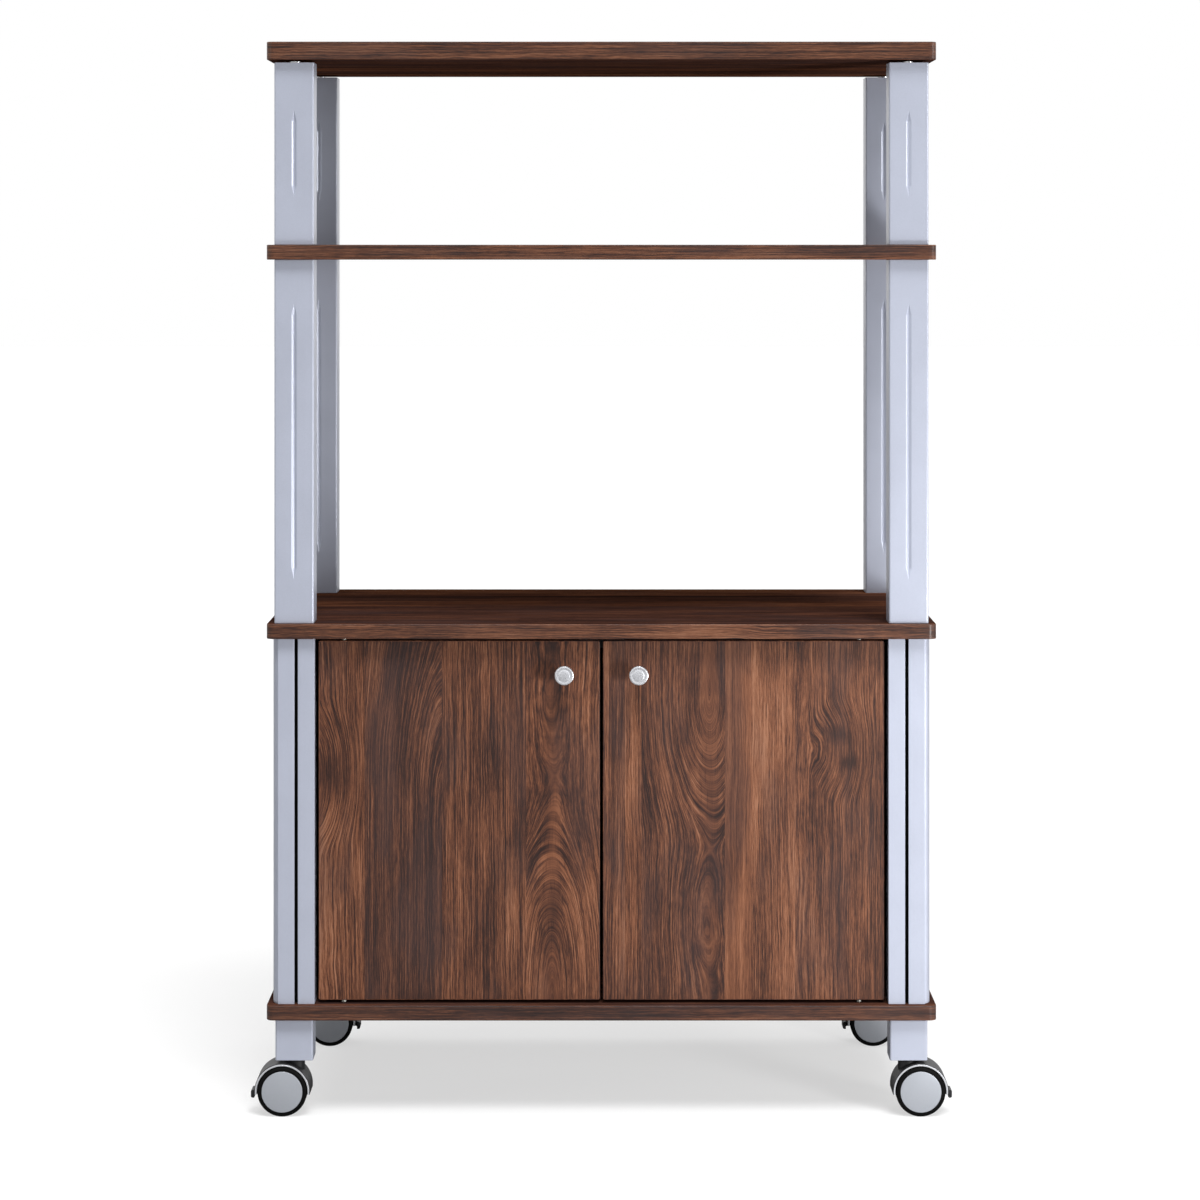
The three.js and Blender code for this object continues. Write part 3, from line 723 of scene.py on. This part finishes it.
def moulded_plastic(name, colour, gloss, shine=0.5):
    """Moulded plastic with a fine spark-eroded grain."""
    shader = Shader(name)
    texture = shader.noise(shader.place, scale=1400.0)
    clouds = shader.noise(shader.place, scale=60.0)
    return shader.finish(
        Base_Color=shader.tint(shader.fit(clouds, *MOULD_SPAN), colour, darkest=0.7),
        Roughness=shader.fit(texture, *MARK_SPAN, gloss, gloss + GLOSS_SPREAD),
        Normal=shader.bump(texture, strength=0.15, distance=0.00006),
        Specular_IOR_Level=shine,
    )


# Staves of the doors: where each starts, as a share of the width, then shares for stave_place, which
# are its heart and the two ends of its arch, and then its shade.
DOOR_STAVES = {
    "left": [
        (0.000, 0.30, 0.00, 0.30, 0.70),
        (0.162, 0.49, 0.48, 0.70, 0.19),
        (0.435, 0.22, 0.00, 0.30, 0.52),
        (0.735, 0.61, 0.31, 0.53, 0.58),
    ],
    "right": [
        (0.000, 0.80, 0.40, 0.46, 0.42),
        (0.075, 0.10, 0.40, 0.52, 0.80),
        (0.135, 0.46, 0.64, 0.47, 0.38),
        (0.430, 0.95, 0.50, 0.55, 0.98),
        (0.525, 0.15, 0.35, 0.52, 0.78),
        (0.680, 0.53, 0.00, 0.30, 0.50),
    ],
}
# Knots and the stains at them: where the centre is, and how far each reaches, across and along.
DOOR_KNOTS = {
    "left": [((-0.284, 0.342), (0.056, 0.085))],
    "right": [((0.246, 0.369), (0.040, 0.060))],
}
DOOR_STAINS = {
    "left": [((-0.294, 0.341), (0.058, 0.036))],
    "right": [((0.240, 0.384), (0.018, 0.014)), ((0.249, 0.356), (0.018, 0.012))],
}


def door_walnut(label):
    low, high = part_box(label + "_door")
    size = high - low

    def staves(shader, across):
        return listed_staves(shader, across, low.x, size.x, DOOR_STAVES[label])

    return walnut("walnut_" + label + "_door", "x", "z", staves, tone=0.96, contrast=1.50,
                  knots=DOOR_KNOTS[label], stains=DOOR_STAINS[label],
                  origin=(low.x, low.z), span=(size.x, size.z))


walnut_face = walnut("walnut_face", "y", "x", random_staves, tone=0.92, contrast=1.0,
                     gloss=0.60, shine=0.0)
walnut_edge = walnut("walnut_edge", "z", "edge", random_staves, tone=0.74, contrast=1.5,
                     gloss=0.30, shine=0.30)
walnut_banding = walnut("walnut_banding", "edge", "z", random_staves, tone=1.25)
walnut_doors = {label: door_walnut(label) for label in DOOR_STAVES}
walnut_panel = walnut("walnut_panel", "x", "z", random_staves, tone=0.60, gloss=0.55)
walnut_side = walnut("walnut_side", "y", "z", random_staves, tone=0.60, gloss=0.55)
silver = silver_paint("silver_paint", colour=(0.48, 0.51, 0.61), metallic=0.20, gloss=0.28)
cap_silver = silver_paint("cap_silver", colour=(0.40, 0.42, 0.46), metallic=0.25, gloss=0.30)
trim_silver = silver_paint("trim_silver", colour=(0.56, 0.57, 0.60), metallic=0.3, gloss=0.25)
chrome = brushed_metal("chrome", colour=(0.86, 0.87, 0.89), gloss=0.08, stretch=(300.0, 300.0, 300.0))
zinc = brushed_metal("zinc", colour=(0.50, 0.50, 0.46), gloss=0.30, stretch=(400.0, 400.0, 2000.0))
knob_steel = brushed_metal("knob_steel", colour=(0.80, 0.81, 0.85), gloss=0.24,
                           stretch=(900.0, 900.0, 900.0))
magnet_steel = brushed_metal("magnet_steel", colour=(0.45, 0.45, 0.47), gloss=0.35,
                             stretch=(200.0, 200.0, 2500.0))
black_plastic = moulded_plastic("black_plastic", colour=(0.014, 0.014, 0.016), gloss=0.40, shine=0.30)
# Near-black inside the posts' slots: painted shade, as little light reaches into them.
painted_slot_shade = moulded_plastic("painted_slot_shade", colour=(0.004, 0.004, 0.004), gloss=0.60, shine=0.1)
tyre_plastic = moulded_plastic("tyre_plastic", colour=(0.003, 0.003, 0.003), gloss=0.60, shine=0.06)
# Dark brown nylon for the catch: partly its own colour, partly painted shade for the dark gap between
# the doors where it shows.
catch_nylon_and_shade = moulded_plastic("catch_nylon_and_shade", colour=(0.024, 0.018, 0.015), gloss=0.45)


# ---- Boards and panels ----


def centre_of(node):
    low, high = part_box(node)
    return (low + high) / 2


def top_of(node):
    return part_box(node)[1].z


def bottom_of(node):
    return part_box(node)[0].z


def face_or_edge(piece, axis, limit):
    """Gives the faces that don't look along an axis the piece's second material."""
    for polygon in piece.data.polygons:
        polygon.material_index = 0 if abs(polygon.normal[axis]) > limit else 1


def make_board(node):
    low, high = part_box(node)
    shape = slab(high.x - low.x, high.y - low.y, BOARD_CORNER, low.z, high.z, BOARD_EDGE,
                 shifted(y=(low.y + high.y) / 2))
    board = stand_in(node, shape, "walnut", walnut_face, walnut_edge)
    face_or_edge(board, 2, BOARD_FACE)


def make_panel(node, material):
    """A thin panel that stands across its thinnest side."""
    low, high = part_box(node)
    size = high - low
    half = min(size.x, size.y) / 2
    stand = sideways if size.x < size.y else upright
    shape = slab(max(size.x, size.y), size.z, 2 * PANEL_EDGE, -half, half, PANEL_EDGE,
                 stand(*centre_of(node)))
    stand_in(node, shape, "hardboard", material)


# ---- Posts and legs ----

CORNER_X = abs(centre_of("upper_post_front_left").x)


def groove_ring(z, inset, share):
    """A post's cross-section at a height: share is how fully the groove is formed there."""
    half = POST_WIDTH / 2 - inset
    corner = POST_CORNER - inset
    half_width = max(GROOVE_SEED, share * GROOVE_WIDTH / 2)
    depth = share * GROOVE_DEPTH
    dips = []
    for step in range(GROOVE_STEPS + 1):
        across = 2 * step / GROOVE_STEPS - 1
        wave = (1 + math.cos(math.pi * across)) / 2
        slope = 1 - abs(across)
        dips.append((across * half_width, depth * (wave + slope) / 2))
    reach = half - corner
    outline = [(x, dip - half) for x, dip in dips]
    outline += quarter_arc(reach, -reach, corner, -1)
    outline += quarter_arc(reach, reach, corner, 0)
    outline += [(-x, half - dip) for x, dip in dips]
    outline += quarter_arc(-reach, reach, corner, 1)
    outline += quarter_arc(-reach, -reach, corner, 2)
    return at_height(outline, z)


def make_post(node, bottom, top, margin):
    """A square tube with a pressed groove that runs out to a point at both ends."""
    profile = edge_profile(POST_END_EDGE)
    rings = [groove_ring(bottom + rise, inset, 0.0) for inset, rise in profile]
    shares = [step / TAPER_STEPS for step in range(TAPER_STEPS + 1)]
    rings += [groove_ring(bottom + margin + share * GROOVE_TAPER, 0.0, share) for share in shares]
    rings += [groove_ring(top - margin - share * GROOVE_TAPER, 0.0, share) for share in reversed(shares)]
    rings += [groove_ring(top - rise, inset, 0.0) for inset, rise in reversed(profile)]
    centre = centre_of(node)
    stand_in(node, loft(rings, shifted(centre.x, centre.y)), "silver_post", silver)


def profile_outline():
    """The slotted post's outline, anticlockwise, with its outer side towards +X."""
    half = POST_WIDTH / 2
    left = SLOT_MIDDLE - SLOT_WIDTH / 2
    right = SLOT_MIDDLE + SLOT_WIDTH / 2
    end = half - SLOT_DEPTH
    flank = [(PROFILE_INNER, half), (left, half), (left, end), (right, end), (right, half),
             (PROFILE_CORE, half)]
    outline = [(x, -y) for x, y in flank]
    lobe = half - LOBE_STEP
    outline += arc(PROFILE_CORE, 0.0, lobe, -RIGHT_ANGLE, RIGHT_ANGLE, LOBE_STEPS, LOBE_REACH / lobe)
    outline += reversed(flank)
    panel_slot = [(PROFILE_INNER, SLOT_WIDTH / 2), (PROFILE_INNER + PANEL_SLOT_DEPTH, SLOT_WIDTH / 2)]
    outline += panel_slot
    outline += [(x, -y) for x, y in reversed(panel_slot)]
    return outline


def make_slotted_post(node, outwards, bottom, top):
    outline = [(outwards * x, outwards * y) for x, y in profile_outline()]
    rings = [at_height(outline, z) for z in (bottom, top)]
    x = outwards * CORNER_X
    y = centre_of(node).y
    # The second material is the painted shade inside the slots.
    post = stand_in(node, loft(rings, shifted(x, y)), "silver_post", silver, painted_slot_shade)
    soften(post, PROFILE_EDGE)
    shade_slot_walls(post, x, y)


def shade_slot_walls(post, centre_x, centre_y):
    """Gives the walls of a post's slots a near-black colour, which is painted shade for the deep, narrow
    slots.
    """
    for polygon in post.data.polygons:
        across = abs(abs(polygon.center.x - centre_x) - abs(SLOT_MIDDLE))
        sunk = abs(polygon.center.y - centre_y) < POST_WIDTH / 2 - PROFILE_EDGE
        if across < SLOT_WIDTH / 2 + TINY and sunk and abs(polygon.normal.z) < WALL_FACE:
            polygon.material_index = 1


def make_leg(node):
    """A short square tube whose foot shows the plastic socket inside."""
    low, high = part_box(node)
    width = high.x - low.x
    inside = width - 2 * LEG_WALL
    rings = []
    for z in (low.z + LEG_PLUG_RECESS, low.z):
        rings.append(at_height(rounded_rectangle(inside, inside, POST_CORNER - LEG_WALL), z))
    for inset, rise in edge_profile(POST_END_EDGE):
        side = width - 2 * inset
        rings.append(at_height(rounded_rectangle(side, side, POST_CORNER - inset), low.z + rise))
    rings.append(at_height(rounded_rectangle(width, width, POST_CORNER), high.z))
    centre = centre_of(node)
    leg = stand_in(node, loft(rings, shifted(centre.x, centre.y)), "silver_post", silver, black_plastic)
    leg.data.polygons[0].material_index = 1


def make_top_stud(node):
    """The chrome flange that holds the top board clear of its post."""
    low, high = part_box(node)
    stand = top_of("upper_post_" + node.removeprefix("top_stud_"))
    profile = rounded_profile([
        (0.0, low.z),
        (STUD_RADIUS - STUD_CHAMFER, low.z),
        (STUD_RADIUS, low.z + STUD_CHAMFER),
        (STUD_RADIUS, stand),
        (FLANGE_RADIUS, stand, FLANGE_EDGE),
        (FLANGE_RADIUS, stand + FLANGE_HEIGHT, FLANGE_EDGE),
        (STUD_RADIUS, stand + FLANGE_HEIGHT),
        (STUD_RADIUS, high.z),
        (0.0, high.z),
    ])
    centre = centre_of(node)
    stand_in(node, turned(profile, shifted(centre.x, centre.y)), "chrome", chrome)


# ---- Doors, knobs, pins and catch ----


def make_door(label):
    low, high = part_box(label + "_door")
    half = (high.y - low.y) / 2
    shape = slab(high.x - low.x, high.z - low.z, DOOR_CORNER, -half, half, BOARD_EDGE,
                 upright(*centre_of(label + "_door")))
    door = stand_in(label + "_door", shape, "walnut", walnut_doors[label], walnut_banding)
    face_or_edge(door, 1, FLAT_FACE)
    side = -1 if label == "left" else 1
    stick = upright(side * STRIKE_SPACING / 2, high.y, bottom_of("door_catch") + STRIKE_HEIGHT, -1, 1)
    plate = slab(STRIKE_WIDTH, STRIKE_HEIGHT, STRIKE_HEIGHT / 4, 0.0, STRIKE_THICKNESS,
                 STRIKE_THICKNESS / 2, stick)
    strike = new_object(label + "_strike_plate", plate, magnet_steel)
    settle(strike, label + "_door", "satin_steel")


def make_knob(label):
    """A turned knob: a domed face in a rounded rim, a neck, a foot, and its screw behind the door."""
    door_low, door_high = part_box(label + "_door")
    thickness = door_high.y - door_low.y
    head = KNOB_PROJECTION - KNOB_HEAD
    tail = -thickness - SCREW_HEAD_HEIGHT
    profile = rounded_profile([
        (0.0, tail),
        (SCREW_HEAD_RADIUS, tail, SCREW_HEAD_HEIGHT / 2),
        (SCREW_HEAD_RADIUS, -thickness),
        (SCREW_RADIUS, -thickness),
        (SCREW_RADIUS, 0.0),
        (KNOB_FOOT, 0.0),
        (KNOB_FOOT, KNOB_FOOT_HEIGHT, KNOB_FOOT_HEIGHT / 3),
        (KNOB_NECK, KNOB_FLARE, KNOB_FOOT_HEIGHT / 2),
        (KNOB_NECK, head, KNOB_RIM / 2),
        (KNOB_RADIUS, head + KNOB_RIM, KNOB_RIM),
        (KNOB_RADIUS, KNOB_PROJECTION, KNOB_RIM),
        (KNOB_RADIUS - 2 * KNOB_RIM, KNOB_PROJECTION - KNOB_DISH, KNOB_RIM / 2),
        (KNOB_RADIUS / 2, KNOB_PROJECTION - KNOB_DISH / 4),
        (0.0, KNOB_PROJECTION),
    ])
    centre = centre_of(label + "_knob")
    shape = turned(profile, upright(centre.x, door_low.y, centre.z), 2 * ROUND_STEPS)
    stand_in(label + "_knob", shape, "satin_steel", knob_steel)


def make_pin(node, board_face, up):
    """A door pin on its board: up is 1 for a pin that stands and -1 for one that hangs."""
    profile = rounded_profile([
        (0.0, -PIN_SEAT),
        (PIN_RADIUS, -PIN_SEAT),
        (PIN_RADIUS, 0.0),
        (PIN_COLLAR_RADIUS, 0.0),
        (PIN_COLLAR_RADIUS, PIN_COLLAR_TOP, BOARD_EDGE / 2),
        (PIN_RADIUS, PIN_COLLAR_TOP),
        (PIN_RADIUS, PIN_TIP, BOARD_EDGE),
        (0.0, PIN_TIP),
    ])
    centre = centre_of(node)

    def stand(point):
        return (centre.x + point[0], centre.y + up * point[1], board_face + up * point[2])

    stand_in(node, turned(profile, stand), "steel", zinc)


def make_catch():
    low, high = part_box("door_catch")
    front = low.y + MAGNET_REACH
    shape = slab(high.x - low.x, high.y - front, 2 * MAGNET_REACH, low.z, high.z, BOARD_EDGE,
                 shifted(y=(front + high.y) / 2))
    # The catch's dark colour is partly painted shade for the gap between the doors.
    stand_in("door_catch", shape, "nylon", catch_nylon_and_shade)
    for label, side in (("left", -1), ("right", 1)):
        stick = upright(side * STRIKE_SPACING / 2, front + BOARD_EDGE, (low.z + high.z) / 2)
        plate = slab(MAGNET_WIDTH, MAGNET_HEIGHT, BOARD_EDGE, 0.0, MAGNET_REACH + BOARD_EDGE,
                     BOARD_EDGE / 4, stick)
        magnet = new_object(label + "_magnet", plate, magnet_steel)
        settle(magnet, "root", "satin_steel")


# ---- Casters ----
# Each caster is drawn about its stem, trailing towards +X, and turned into place.


def flat_plate(name, outline, thickness):
    """An outline in X and Z, given thickness along Y about y = 0."""
    rings = [[(x, y, z) for x, z in outline] for y in (thickness / 2, -thickness / 2)]
    return new_object(name, loft(rings), black_plastic)


def cross_rod(name, radius, length, x=0.0, z=0.0, steps=ROUND_STEPS):
    """A rod along Y, about y = 0."""
    return flat_plate(name, arc(x, z, radius, 0.0, 2 * math.pi, steps)[:-1], length)


def upright_rod(name, radius, bottom, top, *rounding):
    """An upright rod. Rounding is for its top edge."""
    corners = [(0.0, bottom), (radius, bottom), (radius, top, *rounding), (0.0, top)]
    return new_object(name, turned(rounded_profile(corners)), black_plastic)


def band(inner, outer, low, high, place=shifted()):
    """A curved strip round the axle: a rounded cross-section swept along the hood's arc."""
    section = rounded_rectangle(outer - inner, high - low, HOUSING_EDGE, EDGE_STEPS)
    rings = []
    for step in range(HOOD_STEPS + 1):
        angle = HOOD_START + (HOOD_STOP - HOOD_START) * step / HOOD_STEPS
        ring = []
        for radial, side in section:
            radius = (inner + outer) / 2 + radial
            ring.append((TRAIL + radius * math.cos(angle), (low + high) / 2 + side,
                         WHEEL_RADIUS + radius * math.sin(angle)))
        rings.append(ring)
    return loft(rings, place)


def make_housing():
    """The moulded hood over both wheels, the web between them, the boss, and the lever's pocket."""
    half = HOOD_HALF_WIDTH - TRIM_WIDTH
    housing = new_object("housing", band(HOOD_INNER, HOOD_OUTER, -half, half), black_plastic)
    reach = (HOOD_INNER + HOOD_OUTER) / 2
    outline = arc(TRAIL, WHEEL_RADIUS, reach, HOOD_START, HOOD_STOP, HOOD_STEPS)
    outline += arc(TRAIL, WHEEL_RADIUS, HUB_RADIUS, math.pi + WEB_FLANK, 2 * math.pi - WEB_FLANK,
                   ROUND_STEPS)
    combine(housing, "UNION", flat_plate("web", outline, WEB_THICKNESS))
    boss = upright_rod("boss", BOSS_RADIUS, WHEEL_RADIUS, BOSS_TOP, BOSS_EDGE)
    well = cross_rod("well", reach, 2 * WHEEL_RADIUS, TRAIL, WHEEL_RADIUS, HOOD_STEPS)
    combine(boss, "DIFFERENCE", well)
    combine(housing, "UNION", boss)
    bore = upright_rod("swivel_bore", SWIVEL_BORE, BOSS_TOP - SWIVEL_DEPTH, BOSS_TOP + SWIVEL_BORE)
    combine(housing, "DIFFERENCE", bore)
    left = LEVER_PIVOT_X - LEVER_EYE - LEVER_CLEARANCE
    right = TRAIL + 2 * HOOD_OUTER
    top = LEVER_PIVOT_Z + LEVER_EYE + LEVER_CLEARANCE
    outline = [(left, -WHEEL_RADIUS), (right, -WHEEL_RADIUS), (right, top), (left, top)]
    combine(housing, "DIFFERENCE", flat_plate("pocket", outline, LEVER_THICKNESS + LEVER_CLEARANCE))
    return smoothed(housing)


def make_lever():
    """The brake lever: an eye on two trunnions, a sloping arm, and a tab with a rounded nose."""
    lever = cross_rod("lever", LEVER_EYE, LEVER_THICKNESS)
    combine(lever, "UNION", cross_rod("trunnions", TRUNNION_RADIUS, TRUNNION_LENGTH))
    tab_inner = TRAIL + HOOD_OUTER + TAB_GAP - LEVER_PIVOT_X
    half = LEVER_ARM_HEIGHT / 2
    arm_end = tab_inner + TAB_EDGE
    end = -LEVER_ARM_DROP
    outline = [(0.0, -half), (arm_end, end - half), (arm_end, end + half), (0.0, half)]
    combine(lever, "UNION", flat_plate("arm", outline, LEVER_THICKNESS))
    nose = TAB_THICKNESS / 2
    top = TAB_HEIGHT / 2 - LEVER_ARM_DROP
    base = top - TAB_HEIGHT
    outline = [(tab_inner, base)]
    outline += quarter_arc(tab_inner + nose, base + nose, nose, -1)
    outline += quarter_arc(tab_inner + nose, top - nose, nose, 0)
    outline += [(tab_inner, top)]
    combine(lever, "UNION", soften(flat_plate("tab", outline, TAB_WIDTH), TAB_EDGE / 2))
    return smoothed(lever)


def tyre_profile():
    """Points (radius, distance from the web) round a wheel's tyre and hub."""
    seat = WHEEL_OUTER - CAP_SINK
    hub = WHEEL_OUTER - 2 * CAP_EDGE - CAP_SINK
    points = [(0.0, hub), (AXLE_BORE, hub), (AXLE_BORE, WHEEL_INNER)]
    for centre_y, turn in ((WHEEL_INNER + TREAD_ROUND, -1), (WHEEL_OUTER - TREAD_ROUND, 0)):
        points += quarter_arc(WHEEL_RADIUS - TREAD_ROUND, centre_y, TREAD_ROUND, turn, 2 * EDGE_STEPS)
    points += [(CAP_RADIUS + CAP_EDGE, WHEEL_OUTER), (CAP_RADIUS + CAP_EDGE / 2, seat), (0.0, seat)]
    return points


def cap_profile():
    """Points (radius, distance from the web) of a wheel's domed cap."""
    seat = WHEEL_OUTER - CAP_SINK
    rim = CAP_RADIUS - CAP_EDGE
    points = [(0.0, seat), (CAP_RADIUS, seat)]
    points += quarter_arc(rim, WHEEL_OUTER - CAP_EDGE / 2, CAP_EDGE, 0, EDGE_STEPS)
    rise = CAP_DOME - CAP_EDGE / 2
    for step in range(1, CORNER_STEPS + 1):
        share = 1 - step / CORNER_STEPS
        points.append((rim * share, WHEEL_OUTER + CAP_EDGE / 2 + rise * (1 - share ** 2)))
    return points


def stem_profile(leg_bottom):
    foot = BOSS_TOP - SWIVEL_DEPTH + STUD_CHAMFER / 2
    return rounded_profile([
        (0.0, foot),
        (STEM_RADIUS, foot, STEM_GRIP),
        (STEM_RADIUS, leg_bottom - COLLAR_HEIGHT),
        (COLLAR_RADIUS, leg_bottom - COLLAR_HEIGHT, STEM_GRIP / 2),
        (COLLAR_RADIUS, leg_bottom, STEM_GRIP / 2),
        (SHANK_RADIUS, leg_bottom),
        (SHANK_RADIUS, leg_bottom + SHANK_LENGTH, STEM_GRIP),
        (0.0, leg_bottom + SHANK_LENGTH),
    ])


def copy_placed(name, source, place):
    vertices = [place(vertex.co) for vertex in source.data.vertices]
    faces = [tuple(polygon.vertices) for polygon in source.data.polygons]
    return new_object(name, (vertices, faces), black_plastic)


def make_caster(name, housing, lever):
    side, end = CORNERS[name]
    direction = -side * end  # -1 for a caster that is turned round
    centre = centre_of("caster_stem_" + name)
    body = "caster_" + name

    def place(point):
        return (centre.x + direction * point[0], centre.y + direction * point[1], point[2])

    def hinge(point):
        return place((point[0] + LEVER_PIVOT_X, point[1], point[2] + LEVER_PIVOT_Z))

    hood = copy_placed("fine_caster_housing_" + name, housing, place)
    settle(hood, body, "caster_plastic", "caster_housing_" + name)
    for drawn in (1, -1):
        label = "rear" if drawn * direction > 0 else "front"
        low, high = sorted((drawn * HOOD_HALF_WIDTH, drawn * (HOOD_HALF_WIDTH - TRIM_WIDTH)))
        shape = band(TRIM_INNER, TRIM_OUTER, low, high, place)
        trim = new_object(f"hood_trim_{label}_{name}", shape, trim_silver)
        settle(trim, body, "caster_plastic")
    brake = copy_placed("fine_brake_lever_" + name, lever, hinge)
    settle(brake, body_of("brake_lever_" + name), "caster_plastic", "brake_lever_" + name)
    stem = turned(stem_profile(bottom_of("leg_" + name)), shifted(centre.x, centre.y))
    stand_in("caster_stem_" + name, stem, "steel", zinc)
    for label, facing in (("front", -1), ("rear", 1)):
        make_wheel(f"{label}_wheel_{name}", centre.x + direction * TRAIL, centre.y, facing)


def make_wheel(node, x, y, facing):
    """A wheel on its axle: a black tyre on its hub, and a silver cap on its outer face."""
    stand = upright(x, y, WHEEL_RADIUS, facing, facing)
    stand_in(node, turned(tyre_profile(), stand, WHEEL_STEPS), "wheel", tyre_plastic)
    cap = new_object("cap_of_" + node, turned(cap_profile(), stand, WHEEL_STEPS), cap_silver)
    settle(cap, body_of(node), "wheel")


# ---- The cart ----

for board in ("top_board", "upper_shelf", "cabinet_top", "bottom_board"):
    make_board(board)

for corner, (outwards, _) in CORNERS.items():
    upper_post = "upper_post_" + corner
    make_post(upper_post, top_of("upper_shelf"), top_of(upper_post), UPPER_GROOVE_MARGIN)
    middle_post = "middle_post_" + corner
    make_post(middle_post, top_of("cabinet_top"), bottom_of("upper_shelf"), MIDDLE_GROOVE_MARGIN)
    cabinet_post = "cabinet_post_" + corner
    make_slotted_post(cabinet_post, outwards, top_of("bottom_board"), bottom_of("cabinet_top"))
    make_leg("leg_" + corner)
    make_top_stud("top_stud_" + corner)

make_panel("left_side_panel", walnut_side)
make_panel("right_side_panel", walnut_side)
make_panel("back_panel", walnut_panel)

for label in walnut_doors:
    make_door(label)
    make_knob(label)
    make_pin(label + "_door_lower_pin", top_of("bottom_board"), 1)
    make_pin(label + "_door_upper_pin", bottom_of("cabinet_top"), -1)

make_catch()

housing = make_housing()
lever = make_lever()
for corner in CORNERS:
    make_caster(corner, housing, lever)
    axle = frame["nodes"]["caster_axle_" + corner]
    axle.data.materials.clear()
    axle.data.materials.append(zinc)
bpy.data.objects.remove(housing)
bpy.data.objects.remove(lever)


# ---- Stage, lights and camera ----

FLOOR_COLOUR = 0.40
FLOOR_DARKEST = 0.98  # share of the colour
FLOOR_GRAIN = 3.0
FLOOR_GLOW = 0.60
AMBIENT = 0.14

# Azimuths and elevations are in degrees. Azimuth 0 is straight in front.
AIM_HEIGHT = 0.55  # near the cart's middle
KEY_AZIMUTH = 38.0
KEY_DISTANCE = 1.4
KEY_SIZE = (0.22, 0.32)
KEY_ENERGY = 10.0
SUNS = {
    "front": {"azimuth": 15.0, "elevation": 60.0, "spread": 24.0, "energy": 2.2},
    "top": {"azimuth": 0.0, "elevation": 84.0, "spread": 70.0, "energy": 1.6},
    "fill": {"azimuth": -62.0, "elevation": 12.0, "spread": 16.0, "energy": 0.22},
    "glint": {"azimuth": 72.0, "elevation": 0.0, "spread": 16.0, "energy": 1.0},
}


def add_floor():
    """A pale floor that takes soft shadows and glows to the camera, so that it stays white."""
    half = FLOOR_SIZE / 2
    corners = [(-half, -half, 0.0), (half, -half, 0.0), (half, half, 0.0), (-half, half, 0.0)]
    shader = Shader("floor_white")
    grain = shader.noise(shader.place, scale=FLOOR_GRAIN)
    tint = shader.mix(grain, white(FLOOR_DARKEST * FLOOR_COLOUR), white(FLOOR_COLOUR))
    plain = shader.node("ShaderNodeBsdfDiffuse", {"Color": tint})
    seen = shader.node("ShaderNodeLightPath", {}).outputs["Is Camera Ray"]
    light = {"Color": white(1.0), "Strength": shader.scale(seen, FLOOR_GLOW)}
    glow = shader.node("ShaderNodeEmission", light)
    shader.end(shader.node("ShaderNodeAddShader", {0: plain.outputs[0], 1: glow.outputs[0]}))
    new_object("floor", (corners, [(0, 1, 2, 3)]), shader.material)


def add_world():
    """White to the camera and in reflections, and a softer grey light on the object."""
    world = bpy.data.worlds.new("studio")
    nodes = Nodes(world, "ShaderNodeOutputWorld")
    rays = nodes.node("ShaderNodeLightPath", {}).outputs
    mirrored = nodes.math("MAXIMUM", rays["Is Glossy Ray"], rays["Is Transmission Ray"])
    seen = nodes.math("MAXIMUM", rays["Is Camera Ray"], mirrored)
    strength = nodes.node("ShaderNodeMapRange", {"Value": seen, "To Min": AMBIENT, "To Max": 1.0})
    sky = {"Color": white(1.0), "Strength": strength.outputs[0]}
    nodes.end(nodes.node("ShaderNodeBackground", sky))
    bpy.context.scene.world = world


def aim(name, data, azimuth, elevation, distance, height):
    """Puts a lamp where it looks at the cart's middle line at a height."""
    around = math.radians(azimuth)
    above = math.radians(elevation)
    level = math.cos(above)
    direction = Vector((math.sin(around) * level, -math.cos(around) * level, math.sin(above)))
    lamp = bpy.data.objects.new(name, data)
    bpy.context.scene.collection.objects.link(lamp)
    lamp.location = Vector((0.0, 0.0, height)) + direction * distance
    lamp.rotation_euler = (-direction).to_track_quat("-Z", "Y").to_euler()


def add_key():
    """A softbox that is level with the middle of the doors."""
    data = bpy.data.lights.new("key", "AREA")
    data.shape = "RECTANGLE"
    data.size, data.size_y = KEY_SIZE
    data.energy = KEY_ENERGY
    aim("key", data, KEY_AZIMUTH, 0.0, KEY_DISTANCE, centre_of("left_door").z)


def add_sun(name, azimuth, elevation, spread, energy):
    data = bpy.data.lights.new(name, "SUN")
    data.angle = math.radians(spread)
    data.energy = energy
    aim(name, data, azimuth, elevation, CAMERA_DISTANCE, AIM_HEIGHT)


def add_camera():
    data = bpy.data.cameras.new("camera")
    data.sensor_width = CAMERA_SENSOR
    data.lens = CAMERA_LENS
    data.shift_x = CAMERA_SHIFT_X
    data.shift_y = CAMERA_SHIFT_Y
    data.clip_end = 2 * FLOOR_SIZE
    camera = bpy.data.objects.new("camera", data)
    bpy.context.scene.collection.objects.link(camera)
    camera.location = (0.0, -CAMERA_DISTANCE, CAMERA_HEIGHT)
    camera.rotation_euler = (RIGHT_ANGLE, 0.0, 0.0)
    bpy.context.scene.camera = camera


add_floor()
add_world()
add_key()
for name, sun in SUNS.items():
    add_sun(name, **sun)
add_camera()
bpy.context.scene.view_settings.view_transform = "Standard"
